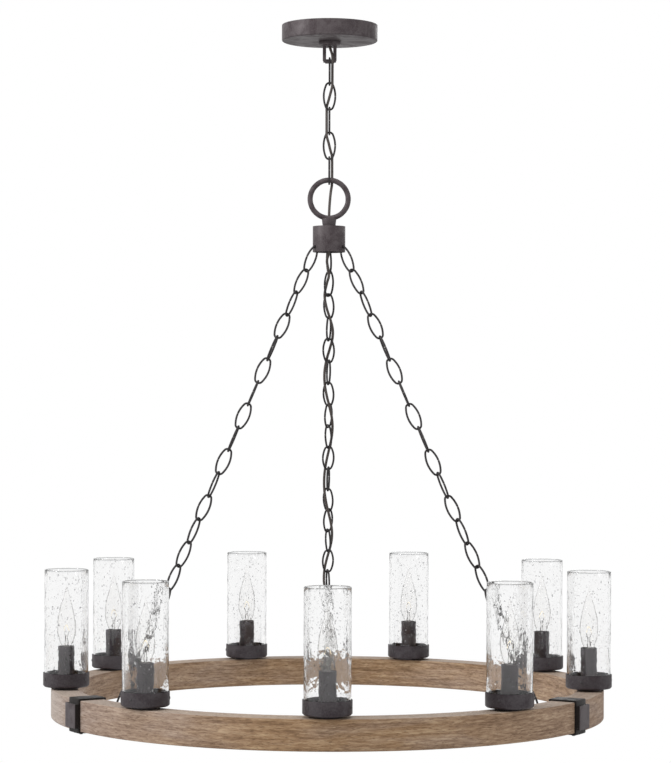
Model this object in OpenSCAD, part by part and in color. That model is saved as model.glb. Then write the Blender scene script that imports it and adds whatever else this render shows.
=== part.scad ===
// Wagon wheel chandelier: a three-piece wooden rim with nine candle lamps in
// glass cylinders, hung on three chains from a hub, a chain and a canopy.
// Millimetres. Z is up, the ceiling is Z = 0, and the axis of the chandelier
// is the Z axis. Angles round the axis are counted from +X towards +Y; the
// front of the chandelier faces -Y, which is 270 degrees.

/* [Ceiling plate] */
// Length of the bar that screws to the outlet box
crossbar_len = 112; // [104:1:140]
// Width of the bar
crossbar_w = 25; // [22:1:32]
// Thickness of the bar
crossbar_t = 2.4; // [1.6:0.2:4]
// Distance between the two mounting screws
box_screw_pitch = 88.9; // [84:0.1:92]
// Width of the two mounting slots
box_slot_w = 4.8; // [4.2:0.1:6]
// Length of the two mounting slots
box_slot_len = 12; // [8:0.5:14]
// Outer diameter of the canopy
canopy_d = 168; // [150:1:190]
// Depth of the canopy
canopy_h = 28; // [24:1:40]
// Thickness of the sheet of the canopy
canopy_wall = 1.2; // [0.8:0.1:2]
// Radius of the canopy's lower edge
canopy_edge_r = 2; // [1.5:0.5:5]

/* [Canopy loop] */
// Outer diameter of the threaded nipples
nipple_d = 9.5; // [9:0.1:11]
// Bore of the threaded nipples
nipple_bore = 6.6; // [6:0.1:7]
// Width across flats of the lock nuts
locknut_af = 14; // [13:0.5:17]
// Thickness of the lock nuts
locknut_t = 4; // [3:0.5:5]
// Diameter of the neck of the canopy loop
neck_d = 25; // [22:0.5:28]
// Outer diameter of the ring nut under the canopy
collar_d = 38.6; // [34:0.2:44]
// Height of the ring nut
collar_h = 7; // [5:0.5:10]
// Overall width of the canopy loop
loop_w = 24.4; // [24:0.2:25]
// Thickness of the loop's bar, across
loop_bar = 6; // [5:0.2:6.4]
// Thickness of the loop's bottom bar
loop_foot = 7.4; // [6:0.2:9]
// Depth of the loop's bar, front to back
loop_depth = 6; // [5:0.2:7]
// Distance from the ceiling to the top of the loop's bottom bar
loop_seat = 59.4; // [55:0.2:70]

/* [Chain] */
// Diameter of the chain wire
chain_wire = 3.3; // [2.8:0.1:3.6]
// Inside length of a chain link
link_inner_len = 43.8; // [40:0.2:48]
// Inside width of a chain link
link_inner_w = 17; // [16:0.2:20]
// Radius of the rounded end of a link, to the middle of the wire
link_end_r = 6.8; // [6.2:0.1:7.6]
// Play between two links that hang in each other
link_play = 0.3; // [0.2:0.05:0.5]
// Links in each of the three chains of the wheel
wheel_links = 20; // [16:1:24]

/* [Hub] */
// Diameter of the ring above the hub, to the middle of its bar
ring_d = 66.8; // [60:0.2:76]
// Diameter of the ring's bar
ring_bar = 9.6; // [8:0.2:11]
// Height of the ring's middle above the top of the hub
ring_rise = 48; // [46:0.5:56]
// Upper diameter of the boss under the ring
boss_top_d = 26; // [22:0.5:30]
// Lower diameter of the boss
boss_foot_d = 22.6; // [18:0.5:28]
// Height of the boss, up to the underside of the ring's bar
boss_h = 14; // [13:0.5:15]
// Outer diameter of the hub
hub_d = 57.2; // [52:0.2:66]
// Height of the hub
hub_h = 45.2; // [36:0.2:60]
// Wall of the hub
hub_wall = 2.5; // [2:0.1:3]
// Thickness of the hub's top
hub_top_t = 3; // [2.5:0.1:5]
// Diameter of the three chain holes
chain_hole_d = 6.4; // [6:0.1:7.5]
// Height of the chain holes above the hub's lower edge
chain_hole_up = 8.3; // [7:0.1:12]

/* [Wheel] */
// Outer diameter of the wooden rim
rim_d = 965.2; // [900:1:1060]
// Width of the rim, seen from above
rim_w = 44.5; // [42:0.5:50]
// Height of the rim
rim_h = 51; // [48:0.5:60]
// Bevel along the rim's edges
rim_bevel = 1.2; // [0.6:0.2:2]
// Distance of the lamps' axes from the rim's outer face
lamp_inset = 25.1; // [24:0.1:25.5]
// Width of the wire channel in the rim's underside
channel_w = 18; // [17:0.5:20]
// Depth of the wire channel
channel_depth = 30; // [28:0.5:33]
// Width of the strip that closes the channel
strip_w = 28; // [26:0.5:30]
// Thickness of that strip
strip_t = 3; // [2:0.5:4]
// Length of a joint sleeve along the rim
sleeve_len = 38; // [36:1:60]
// Thickness of the joint sleeve
sleeve_t = 3; // [2:0.2:4]
// Play between the sleeve and the wood
sleeve_play = 0.2; // [0.1:0.05:0.4]
// Thickness of the plate on the outside of the sleeve
plate_t = 7; // [3:0.5:9]
// Height of that plate
plate_h = 40; // [30:1:46]

/* [Chain eyes] */
// Diameter of the eye's bar
eye_wire = 5; // [4.4:0.2:6]
// Radius of the eye, to the middle of its bar
eye_r = 10.5; // [10:0.1:12]
// Distance from the sleeve's inner face to the middle of the eye
eye_reach = 25.3; // [20:0.1:30]
// Diameter of the eye's shank
eye_shank_d = 6; // [5:0.5:6.5]

/* [Lamps] */
// Outer diameter of a lamp cup
cup_d = 79.4; // [78:0.2:84]
// Height of a lamp cup
cup_h = 24; // [18:0.5:32]
// Wall of a lamp cup
cup_wall = 1.2; // [1:0.1:1.4]
// Bevel round the foot of a lamp cup
cup_bevel = 2.4; // [1:0.2:4]
// Diameter of the spacer between cup and rim
spacer_d = 42; // [30:1:44]
// Height of the spacer
spacer_h = 4; // [3:0.5:8]
// Play between a glass shade and the wall of its cup
glass_play = 0.7; // [0.5:0.1:1.5]
// Wall of a glass shade
glass_wall = 2.8; // [2:0.1:4]
// Height of a glass shade
glass_h = 198.4; // [170:0.2:230]
// Outer diameter of a candle sleeve
candle_d = 28; // [24:0.5:30]
// Height of a candle sleeve above the cup's floor
candle_h = 68; // [60:0.5:76]
// Wall of a candle sleeve
candle_wall = 1.2; // [0.8:0.1:2]
// Outer diameter of a lamp socket
socket_d = 20; // [18:0.5:22]
// Height of a lamp socket
socket_h = 30; // [26:0.5:34]
// Depth of the socket's bore
socket_bore_h = 24; // [22:0.5:25]
// Greatest diameter of a bulb
bulb_d = 32; // [28:0.5:36]
// Length of a bulb's glass, from its shoulder to its tip
bulb_glass_len = 109; // [90:1:120]
// Wall of a bulb's glass
bulb_wall = 0.9; // [0.6:0.1:1.4]
// Diameter of the bulb's screw base
bulb_base_d = 12; // [11:0.5:12.5]
// Length of the bulb's screw base
bulb_base_len = 20; // [18:0.5:21]
// Diameter of a set screw
set_screw_d = 3; // [2.5:0.1:4]
// Diameter of a set screw's head
set_screw_head = 4.6; // [4:0.1:6]

/* [Wiring] */
// Diameter of the supply cord
cord_d = 4.8; // [4:0.1:5.2]
// Diameter of the wires inside the rim
harness_d = 4; // [3:0.1:4.4]
// Diameter of the leads of a lamp
lead_d = 2.6; // [2:0.1:3.4]
// Distance of the supply cord from the middle of the wheel's chain
cord_wind_r = 7.6; // [7.4:0.1:8.4]

/* [Hidden] */
$fn = 64;
EPS = 0.01;           // overcut of a boolean
FIT = 0.15;           // radial play of threads and bores
SEAT = 0.3;           // play under what is lifted off

// Finishes
zinc = "#5a5759";
dark_metal = "#47464a";
wood = "#9c8064";
brass = "#b9975b";
glass_tint = "#dfe6e8";
cord_brown = "#3a2f2b";
porcelain = "#e8e4da";

// Directions round the axis
FRONT = 270;
JOINT_ANGLES = [FRONT - 60, FRONT + 60, FRONT + 180];  // left, right and back joints of the rim
LAMPS = 9;
LAMP_STEP = 360 / LAMPS;
function lamp_angle(i) = FRONT + LAMP_STEP * i;

// Ceiling nipple and canopy loop
neck_rise = 8;        // how far the loop's neck reaches up into the canopy
neck_top = -canopy_h + neck_rise;
nipple_top = -0.5;    // the nipple ends just under the ceiling
collar_hole_d = neck_d + 2 * FIT;
loop_shoulder = -canopy_h - collar_h;
loop_foot_z = -loop_seat - loop_foot;

// Chain
pitch = link_inner_len - link_play;
link_half = (link_inner_len + chain_wire) / 2;  // to the middle of the wire at the end
link_side = (link_inner_w + chain_wire) / 2;    // to the middle of the wire at the side
link_end_x = link_half - link_end_r;
link_side_r = (pow(link_end_x, 2) + pow(link_side, 2) - pow(link_end_r, 2)) / (2 * (link_side - link_end_r));
link_end_turn = atan2(link_side_r - link_side, link_end_x);
TOP_LINKS = 5;
LINK_LAP = 0.4;       // length by which a side arc reaches into an end arc
LINK_THIN = 0.06;     // how much thinner its wire is
function seat_z(k) = -loop_seat + link_play / 2 - k * pitch;  // middle of the play below top link k

// Hub
ring_in_r = (ring_d - ring_bar) / 2;
ring_z = seat_z(TOP_LINKS) + link_play / 2 - ring_in_r;
hub_top = ring_z - ring_rise;
hub_foot = hub_top - hub_h;
hub_r = hub_d / 2;
boss_top = hub_top + boss_h;
boss_floor = 2;       // metal over the end of the boss's thread
nut_overhang = 2;     // how far the nipple stands out of its nut
hub_nipple_top = hub_top + boss_h - boss_floor;
hub_nipple_foot = hub_top - hub_top_t - locknut_t - nut_overhang;
chain_hole_z = hub_foot + chain_hole_up;
hole_clear = 0.8;     // the first link stands off the lower edge of its slanted seat
hang_r = hub_r - hub_wall / 2;
hang_z = chain_hole_z - chain_hole_d / 2 + hole_clear;

// Chains of the wheel
rim_r = rim_d / 2;
rim_in_r = rim_r - rim_w;
sleeve_in_r = rim_in_r - sleeve_play - sleeve_t;
eye_mid_r = sleeve_in_r - eye_reach;
wheel_chain_len = wheel_links * pitch;
eye_bore_r = eye_r - eye_wire / 2;
hang_len = wheel_chain_len + eye_bore_r - link_play / 2;
chain_lean = asin((eye_mid_r - hang_r) / hang_len);
eye_z = hang_z - hang_len * cos(chain_lean);

// Rim
rim_mid = eye_z;
rim_top = rim_mid + rim_h / 2;
rim_foot = rim_mid - rim_h / 2;
lamp_r = rim_r - lamp_inset;
channel_top = rim_foot + channel_depth;
strip_play = 0.3;
step_mid_r = lamp_r + (channel_w + strip_w) / 4;        // the middle of the step that holds a strip
joint_screw_r = (rim_r + lamp_r + strip_w / 2) / 2;      // the middle of the wood outside the strip
JOINT_SCREW_PLACE = 0.28;  // its place beside the joint, as a share of the sleeve's turn
joint_screw_d = 3.6;
joint_screw_len = 16;
strip_screw_d = 2.8;
strip_screw_len = 12;
SCREW_PLAY = 0.2;     // radial play of a screw in its hole
sleeve_turn = sleeve_len / rim_r * 180 / PI;
RAIL_TURN = 120;
STRIP_SCREWS = 3;     // in each strip
sleeve_gap = 1;       // between a strip's end and the sleeve

// Lamps
cup_foot = rim_top + spacer_h;
cup_floor = cup_foot + cup_wall;
cup_in_r = cup_d / 2 - cup_wall;
glass_d = 2 * (cup_in_r - glass_play);
bevel_start = cup_in_r - cup_bevel + cup_wall / 2;  // where the cup's inner bevel leaves the floor
glass_foot = cup_floor + max(SEAT, glass_d / 2 - bevel_start + SEAT * sqrt(2));
candle_top = cup_floor + candle_h;
socket_top = candle_top - 2;
socket_foot = socket_top - socket_h;
bulb_shoulder = socket_top + SEAT;
base_foot = bulb_shoulder - bulb_base_len;
stem_d = nipple_d + 3;
lamp_nipple_rise = 12;       // length of a lamp's nipple above the floor of its cup
lamp_nipple_overhang = 3;    // how far it stands out of its lower nut
lamp_nipple_top = cup_floor + lamp_nipple_rise;
lamp_nipple_foot = channel_top - locknut_t - lamp_nipple_overhang;
BASE_PLAY = 0.6;      // radial play of a bulb's base in its socket
SET_SCREW_UP = 0.55;  // height of the set screws, as a share of the cup's
set_screw_z = cup_foot + cup_h * SET_SCREW_UP;
SET_SCREWS = 3;
SET_SCREW_TURNS = [-50, 90, -25, 15, 70, 35, -80, 60, -32];  // each cup's screws stand as they came

// Supply cord
CORD_SIDES = 10;
CORD_STEP = 3;        // diameters between two rings of the tube
join_depth = 18;      // the two cords meet this far below the top of the hub
join_z = hub_top - join_depth;
CORD_PLAY = 0.3;
// Route of the cord beside the top links: x, y and z
POWER_ROUTE = [
    [0, 0, -2], [0, 0, -20], [0, 0, -36], [2, -3, -44], [4.6, -6, -53], [5, -6.6, -61], [5, -6.2, -70],
    [4.9, -5.2, -84], [4.9, -4.9, -100], [4.6, -4.8, -108], [1.5, -1.5, -120], [-1.5, 1.5, -131],
    [-4.7, 4.8, -142], [-4.9, 4.9, -150], [-4.9, 2, -162], [-4.9, -2, -174], [-4.9, -4.9, -186],
    [-4.7, -4.8, -195], [-1.5, -1.5, -206], [1.5, 1.5, -218], [4.7, 4.8, -229], [4.9, 5.2, -237],
    [5, 6.5, -250], [5, 8, -262], [4.9, 8.2, -272], [4.6, 7.4, -281], [3, 4, -291], [1.6, 1.4, -304],
    [0.6, 0.4, -318], [0, 0, -332], [0, 0, -345]
];
// Route of the cord out of the hub: distance from the axis, sideways offset and z
HUB_ROUTE = [[0, 0, 0], [0, 0, -8], [3, 0, -20], [6, -1, -31], [19, -3.5, -42]];
// Points along the back chain before and after the winding: joint counted from the hub, across and side
INTO_CHAIN = [[1, -11, 0], [1.5, 3, 3.5]];
OUT_OF_CHAIN = [[17.9, 5, -10]];
// Route from the chain into the bush: back from the bush's mouth, sideways offset and z over the bush
BUSH_ROUTE = [[-30, 3, 44], [-26, 5, 30], [-18, 3.5, 15], [-9, 0.6, 4], [0, 0, 0], [20, 0, 0]];
WIND_FIRST = 2;       // the cord winds round the chain between these two joints
WIND_LAST = 17;
WIND_START = 225;     // turn of the winding, which brings the cord to the chain's left at the first joint
bush_side = -13;      // the bush sits beside the eye
bush_d = 9;
bush_len = 11;
bush_head = 3;
bush_head_d = bush_d + 3;
SEAT_PLAY = 0.05;     // play of a flat head on the sleeve's round inner face
bush_z = eye_z - 6;

// Place of the frame in the record: everything below hangs from the ceiling plane.

module at_angle(a, r = 0, z = 0) {
    rotate([0, 0, a]) translate([r, 0, z]) children();
}

module tube(outer_d, bore_d, foot, top) {
    difference() {
        translate([0, 0, foot]) cylinder(d = outer_d, h = top - foot);
        translate([0, 0, foot - EPS]) cylinder(d = bore_d, h = top - foot + 2 * EPS);
    }
}

module hex_nut(across, bore_d, foot, thick) {
    difference() {
        translate([0, 0, foot]) cylinder(d = across / cos(30), h = thick, $fn = 6);
        translate([0, 0, foot - EPS]) cylinder(d = bore_d, h = thick + 2 * EPS);
    }
}

// ---- Ceiling plate ----

module crossbar() {
    color(dark_metal) difference() {
        translate([-crossbar_len / 2, -crossbar_w / 2, -crossbar_t])
            cube([crossbar_len, crossbar_w, crossbar_t]);
        translate([0, 0, -crossbar_t - EPS])
            cylinder(d = nipple_d + 2 * FIT, h = crossbar_t + 2 * EPS);
        for (side = [-1, 1]) translate([side * box_screw_pitch / 2, 0, -crossbar_t - EPS])
            linear_extrude(crossbar_t + 2 * EPS) {
                for (end = [-1, 1]) translate([end * (box_slot_len - box_slot_w) / 2, 0])
                    circle(d = box_slot_w);
                square([box_slot_len - box_slot_w, box_slot_w], center = true);
            }
    }
}

module ceiling_nipple() {
    color(brass) tube(nipple_d, nipple_bore, loop_shoulder + 1, nipple_top);
}

module ceiling_locknut() {
    color(brass) hex_nut(locknut_af, nipple_d + 2 * FIT, -crossbar_t - locknut_t, locknut_t);
}

module canopy() {
    r = canopy_d / 2;
    color(zinc) rotate_extrude() difference() {
        union() {
            translate([0, -canopy_h]) square([r - canopy_edge_r, canopy_h]);
            translate([0, -canopy_h + canopy_edge_r]) square([r, canopy_h - canopy_edge_r]);
            translate([r - canopy_edge_r, -canopy_h + canopy_edge_r]) circle(r = canopy_edge_r);
        }
        translate([-EPS, -canopy_h + canopy_wall]) square([r - canopy_wall + EPS, canopy_h]);
        translate([-EPS, -canopy_h - EPS]) square([collar_hole_d / 2 + EPS, canopy_h]);
    }
}

module loop_collar() {
    bevel = 1;
    inner = collar_hole_d / 2;
    outer = collar_d / 2;
    foot = -canopy_h - collar_h;
    color(zinc) rotate_extrude() polygon([
        [inner, -canopy_h], [outer, -canopy_h], [outer, foot + bevel], [outer - bevel, foot], [inner, foot]
    ]);
}

module canopy_loop() {
    half = loop_w / 2;
    opening = half - loop_bar;
    corner = 5;
    bar_z = -loop_seat - loop_depth / 2;
    color(zinc) difference() {
        union() {
            translate([0, 0, loop_shoulder - 2]) cylinder(d = neck_d, h = neck_top - loop_shoulder + 2);
            translate([0, loop_depth / 2, 0]) rotate([90, 0, 0]) linear_extrude(loop_depth) difference() {
                polygon([
                    [-half, loop_shoulder - 1], [half, loop_shoulder - 1], [half, loop_foot_z + corner],
                    [half - corner, loop_foot_z], [corner - half, loop_foot_z], [-half, loop_foot_z + corner]
                ]);
                translate([-opening, bar_z]) square([2 * opening, loop_shoulder - 2 - bar_z]);
            }
            translate([-half + 1, 0, bar_z]) rotate([0, 90, 0]) cylinder(d = loop_depth, h = loop_w - 2);
        }
        translate([0, 0, loop_shoulder - 2 - EPS])
            cylinder(d = nipple_d + 2 * FIT, h = neck_top - loop_shoulder + 2 + 2 * EPS);
    }
}

// ---- Chain ----

// One link, its length along Z and its width along X: two end arcs, and two thinner
// side arcs that reach into them
module link() {
    lap_turn = LINK_LAP / link_side_r * 180 / PI;
    rotate([90, 0, 0]) {
        for (end = [0, 180]) rotate([0, 0, end]) translate([0, link_end_x, 0])
            rotate([0, 0, 90 - link_end_turn]) rotate_extrude(angle = 2 * link_end_turn)
                translate([link_end_r, 0]) circle(d = chain_wire, $fn = 24);
        for (side = [0, 180]) rotate([0, 0, side]) translate([link_side - link_side_r, 0, 0])
            rotate([0, 0, link_end_turn - 90 - lap_turn])
                rotate_extrude(angle = 180 - 2 * link_end_turn + 2 * lap_turn)
                    translate([link_side_r, 0]) circle(d = chain_wire - LINK_THIN, $fn = 24);
    }
}

// Link k of the chain between the canopy and the hub; the links stand at right angles
module top_link(k) {
    color(dark_metal) translate([0, 0, (seat_z(k - 1) + seat_z(k)) / 2])
        rotate([0, 0, k % 2 == 1 ? 90 : 0]) link();
}

// Turn of link k round its chain: a slow sway on top of the right angle between neighbours
function chain_sway(k, bow, wave) =
    bow * sin(180 * k / (wheel_links + 1)) + wave * sin(360 * k / (wheel_links + 1));
SIDE_BOW = -50;
SIDE_WAVE = -20;
BACK_BOW = 0;
BACK_WAVE = 75;

module wheel_chain(angle, bow, wave, hand) {
    color(dark_metal) at_angle(angle, hang_r, hang_z) rotate([0, -chain_lean, 0])
        for (k = [1:wheel_links]) translate([0, 0, -(k - 0.5) * pitch])
            rotate([0, 0, hand * (chain_sway(k, bow, wave) + (k % 2 == 0 ? 90 : 0))]) link();
}

// ---- Hub ----

module hub_loop() {
    color(zinc) difference() {
        union() {
            translate([0, 0, ring_z]) rotate([90, 0, 0]) rotate_extrude() translate([ring_d / 2, 0])
                circle(d = ring_bar, $fn = 32);
            translate([0, 0, hub_top]) cylinder(d1 = boss_foot_d, d2 = boss_top_d, h = boss_h);
        }
        translate([0, 0, hub_top - EPS]) cylinder(d = nipple_d + 2 * FIT, h = boss_h - boss_floor + EPS);
        translate([0, 0, hub_top]) cylinder(d = nipple_bore, h = ring_rise - ring_in_r + 2);
    }
}

module hub() {
    color(zinc) difference() {
        translate([0, 0, hub_foot]) cylinder(d = hub_d, h = hub_h);
        translate([0, 0, hub_foot - EPS])
            cylinder(d = hub_d - 2 * hub_wall, h = hub_h - hub_top_t + EPS);
        translate([0, 0, hub_top - hub_top_t - EPS])
            cylinder(d = nipple_d + 2 * FIT, h = hub_top_t + 2 * EPS);
        for (a = JOINT_ANGLES) at_angle(a, 0, chain_hole_z) rotate([0, 90, 0])
            cylinder(d = chain_hole_d, h = hub_r + 1);
    }
}

module hub_nipple() {
    color(brass) tube(nipple_d, nipple_bore, hub_nipple_foot, hub_nipple_top);
}

module hub_locknut() {
    color(brass) hex_nut(locknut_af, nipple_d + 2 * FIT, hub_top - hub_top_t - locknut_t, locknut_t);
}

// ---- Chain eyes ----

NUT_SPOT = 0.5;       // depth of a nut's flat seat in the channel's curved wall
eye_nut_r = lamp_r - channel_w / 2 - NUT_SPOT;
eye_nut_t = 4;
eye_nut_af = 10;
SHANK_OVERHANG = 1;   // how far a shank stands out of its nut
NUT_POCKET = 1;       // radial play of a nut in its pocket in the wood
eye_collar_d = 2 * eye_shank_d;

// Radius at which a flat head of this reach sideways clears the sleeve's round inner face
function seat_on_sleeve(reach) = sqrt(pow(sleeve_in_r, 2) - pow(reach, 2)) - SEAT_PLAY;

module chain_eyes() {
    collar_t = 3;
    color(dark_metal) for (a = JOINT_ANGLES) at_angle(a, eye_mid_r, eye_z) {
        rotate([90, 0, 0]) rotate_extrude() translate([eye_r, 0]) circle(d = eye_wire, $fn = 24);
        translate([eye_r, 0, 0]) rotate([0, 90, 0])
            cylinder(d = eye_shank_d, h = eye_nut_r + eye_nut_t + SHANK_OVERHANG - eye_mid_r - eye_r);
        translate([seat_on_sleeve(eye_collar_d / 2) - eye_mid_r - collar_t, 0, 0]) rotate([0, 90, 0])
            cylinder(d = eye_collar_d, h = collar_t);
    }
}

module eye_nuts() {
    color(dark_metal) for (a = JOINT_ANGLES) at_angle(a, eye_nut_r, eye_z) rotate([0, 90, 0])
        hex_nut(eye_nut_af, eye_shank_d + 2 * FIT, 0, eye_nut_t);
}

// ---- Rim ----

module rim_outline(grow = 0) {
    in_r = rim_in_r - grow;
    out_r = rim_r + grow;
    foot = rim_foot - grow;
    top = rim_top + grow;
    b = rim_bevel;
    polygon([
        [in_r + b, foot], [out_r - b, foot], [out_r, foot + b], [out_r, top - b],
        [out_r - b, top], [in_r + b, top], [in_r, top - b], [in_r, foot + b]
    ]);
}

// Section of the wire channel with the step that holds its strip
module channel_outline() {
    translate([lamp_r - channel_w / 2, rim_foot - EPS]) square([channel_w, channel_depth + EPS]);
    translate([lamp_r - strip_w / 2, rim_foot - EPS]) square([strip_w, strip_t + EPS]);
}

// Holes that the sleeve and the wood share: the eye's shank and, at the back, the cord's bush
module inner_holes(angle) {
    reach = lamp_r - sleeve_in_r + 1;
    at_angle(angle, sleeve_in_r - 1, eye_z) rotate([0, 90, 0])
        cylinder(d = eye_shank_d + 2 * FIT, h = reach);
    if (angle == JOINT_ANGLES[2]) rotate([0, 0, angle]) translate([sleeve_in_r - 1, bush_side, bush_z])
        rotate([0, 90, 0]) cylinder(d = bush_d + 2 * FIT, h = reach);
}

module wood_rail(i) {
    start = JOINT_ANGLES[i];
    color(wood) difference() {
        rotate([0, 0, start]) rotate_extrude(angle = RAIL_TURN, $fn = 180) difference() {
            rim_outline();
            channel_outline();
        }
        for (j = [0:2]) {
            inner_holes(JOINT_ANGLES[j]);
            at_angle(JOINT_ANGLES[j], eye_nut_r, eye_z) rotate([0, 90, 0])
                cylinder(d = eye_nut_af / cos(30) + 2 * NUT_POCKET, h = channel_w);
        }
        for (k = [0:LAMPS - 1]) at_angle(lamp_angle(k), lamp_r, channel_top - EPS)
            cylinder(d = nipple_d + 2 * FIT, h = rim_top - channel_top + 2 * EPS);
        for (j = [0:2]) joint_screw_places(j)
            cylinder(d = joint_screw_d + 2 * SCREW_PLAY, h = joint_screw_len + 1, $fn = 24);
        strip_screw_places(start) translate([0, 0, strip_t / 2])
            cylinder(d = strip_screw_d + 2 * SCREW_PLAY, h = strip_screw_len, $fn = 24);
    }
}

module rail_joint(i) {
    angle = JOINT_ANGLES[i];
    grow = sleeve_play + sleeve_t;
    color(zinc) difference() {
        union() {
            rotate([0, 0, angle - sleeve_turn / 2]) rotate_extrude(angle = sleeve_turn, $fn = 180) {
                difference() {
                    rim_outline(grow);
                    rim_outline(sleeve_play);
                }
                translate([rim_r + grow - EPS, rim_mid - plate_h / 2]) square([plate_t + EPS, plate_h]);
            }
        }
        inner_holes(angle);
        joint_screw_places(i) translate([0, 0, -EPS])
            cylinder(d = joint_screw_d + 2 * SCREW_PLAY, h = sleeve_t + 2 * EPS, $fn = 24);
    }
}

// The two screws under a joint, one into each rail
module joint_screw_places(i) {
    for (side = [-1, 1]) at_angle(JOINT_ANGLES[i] + side * sleeve_turn * JOINT_SCREW_PLACE, joint_screw_r,
        rim_foot - sleeve_play - sleeve_t) children();
}

module joint_screws() {
    head = 2;
    color(dark_metal) for (i = [0:2]) joint_screw_places(i) {
        translate([0, 0, -head]) cylinder(d1 = 4.6, d2 = 7, h = head, $fn = 24);
        translate([0, 0, -EPS]) cylinder(d = joint_screw_d, h = joint_screw_len + EPS, $fn = 24);
    }
}

module wireway_strips() {
    turn = RAIL_TURN - sleeve_turn - 2 * sleeve_gap / rim_r * 180 / PI;
    color(wood) for (a = JOINT_ANGLES) difference() {
        rotate([0, 0, a + (RAIL_TURN - turn) / 2]) rotate_extrude(angle = turn, $fn = 180)
            translate([lamp_r - strip_w / 2 + strip_play, rim_foot])
                square([strip_w - 2 * strip_play, strip_t - strip_play]);
        strip_screw_places(a) translate([0, 0, -EPS])
            cylinder(d = strip_screw_d + 2 * SCREW_PLAY, h = strip_t, $fn = 24);
    }
}

module strip_screw_places(a) {
    for (k = [1:STRIP_SCREWS])
        at_angle(a + RAIL_TURN * k / (STRIP_SCREWS + 1), step_mid_r, rim_foot) children();
}

module strip_screws() {
    head = 1.2;
    color(dark_metal) for (a = JOINT_ANGLES) strip_screw_places(a) {
        translate([0, 0, -head]) cylinder(d1 = 3, d2 = 4.4, h = head, $fn = 24);
        translate([0, 0, -EPS]) cylinder(d = strip_screw_d, h = strip_screw_len + EPS, $fn = 24);
    }
}

// ---- Lamps ----

module each_lamp() {
    for (k = [0:LAMPS - 1]) at_angle(lamp_angle(k), lamp_r) children();
}

module lamp_cups() {
    r = cup_d / 2;
    color(dark_metal) for (k = [0:LAMPS - 1]) at_angle(lamp_angle(k), lamp_r) difference() {
        rotate_extrude() polygon([
            [nipple_d / 2 + FIT, cup_foot], [r - cup_bevel, cup_foot], [r, cup_foot + cup_bevel],
            [r, cup_foot + cup_h], [cup_in_r, cup_foot + cup_h],
            [cup_in_r, cup_floor + cup_in_r - bevel_start], [bevel_start, cup_floor],
            [nipple_d / 2 + FIT, cup_floor]
        ]);
        set_screw_ring(k) rotate([0, 90, 0])
            cylinder(d = set_screw_d + 2 * FIT, h = 2 * cup_wall + 1, center = true, $fn = 24);
    }
}

// Places of a cup's set screws, on the middle of its wall
module set_screw_ring(k) {
    for (s = [0:SET_SCREWS - 1])
        rotate([0, 0, FRONT - lamp_angle(k) + SET_SCREW_TURNS[k] + s * 360 / SET_SCREWS])
            translate([cup_d / 2 - cup_wall / 2, 0, set_screw_z]) children();
}

module set_screws() {
    inside = cup_d / 2 - cup_wall / 2 - glass_d / 2 - SEAT;
    head = 1;
    color(dark_metal) for (k = [0:LAMPS - 1]) at_angle(lamp_angle(k), lamp_r) set_screw_ring(k)
        rotate([0, 90, 0]) {
            translate([0, 0, -inside]) cylinder(d = set_screw_d, h = inside + cup_wall / 2 + EPS, $fn = 24);
            translate([0, 0, cup_wall / 2]) cylinder(d = set_screw_head, h = head, $fn = 24);
        }
}

module cup_spacers() {
    color(dark_metal) each_lamp() tube(spacer_d, nipple_d + 2 * FIT, rim_top, cup_foot);
}

module candle_sleeves() {
    color(dark_metal) each_lamp() tube(candle_d, candle_d - 2 * candle_wall, cup_floor, candle_top);
}

module lamp_sockets() {
    stem_foot = cup_floor + 6;
    color(porcelain) each_lamp() {
        tube(socket_d, bulb_base_d + 2 * BASE_PLAY, socket_top - socket_bore_h, socket_top);
        difference() {
            union() {
                translate([0, 0, socket_foot]) cylinder(d = socket_d, h = socket_h - socket_bore_h);
                translate([0, 0, stem_foot]) cylinder(d = stem_d, h = socket_foot - stem_foot + EPS);
            }
            translate([0, 0, stem_foot - EPS])
                cylinder(d = nipple_d + 2 * FIT, h = lamp_nipple_top - stem_foot + 2);
            translate([0, 0, stem_foot]) cylinder(d = nipple_bore, h = socket_foot - stem_foot + 2);
        }
    }
}

module lamp_nipples() {
    color(brass) each_lamp() tube(nipple_d, nipple_bore, lamp_nipple_foot, lamp_nipple_top);
}

module lamp_nuts() {
    color(brass) each_lamp() {
        hex_nut(locknut_af, nipple_d + 2 * FIT, channel_top - locknut_t, locknut_t);
        hex_nut(locknut_af, nipple_d + 2 * FIT, cup_floor, locknut_t);
    }
}

module glass_shade(k) {
    color(glass_tint, 0.4) at_angle(lamp_angle(k - 1), lamp_r)
        tube(glass_d, glass_d - 2 * glass_wall, glass_foot, glass_foot + glass_h);
}

// Half-width of the flame-tip glass at height h over its shoulder, from 0 to 1
function flame_r(h) = h < FLAME_BELLY
    ? neck_r + (bulb_d / 2 - neck_r) * sin(90 * h / FLAME_BELLY)
    : tip_r + (bulb_d / 2 - tip_r) * pow(cos(90 * (h - FLAME_BELLY) / (1 - FLAME_BELLY)), FLAME_TAPER);
FLAME_BELLY = 0.30;   // height of the widest place, as a share of the glass
FLAME_TAPER = 1.45;
neck_r = 7.5;
tip_r = 0.9;
FLAME_STEPS = 20;

module flame(inset) {
    polygon(concat(
        [[0, inset]],
        [for (i = [0:FLAME_STEPS]) let (h = i / FLAME_STEPS)
            [max(flame_r(h) - inset, EPS * i), inset + h * (bulb_glass_len - 3 * inset)]],
        [[0, inset + bulb_glass_len - 3 * inset]]
    ));
}

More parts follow.
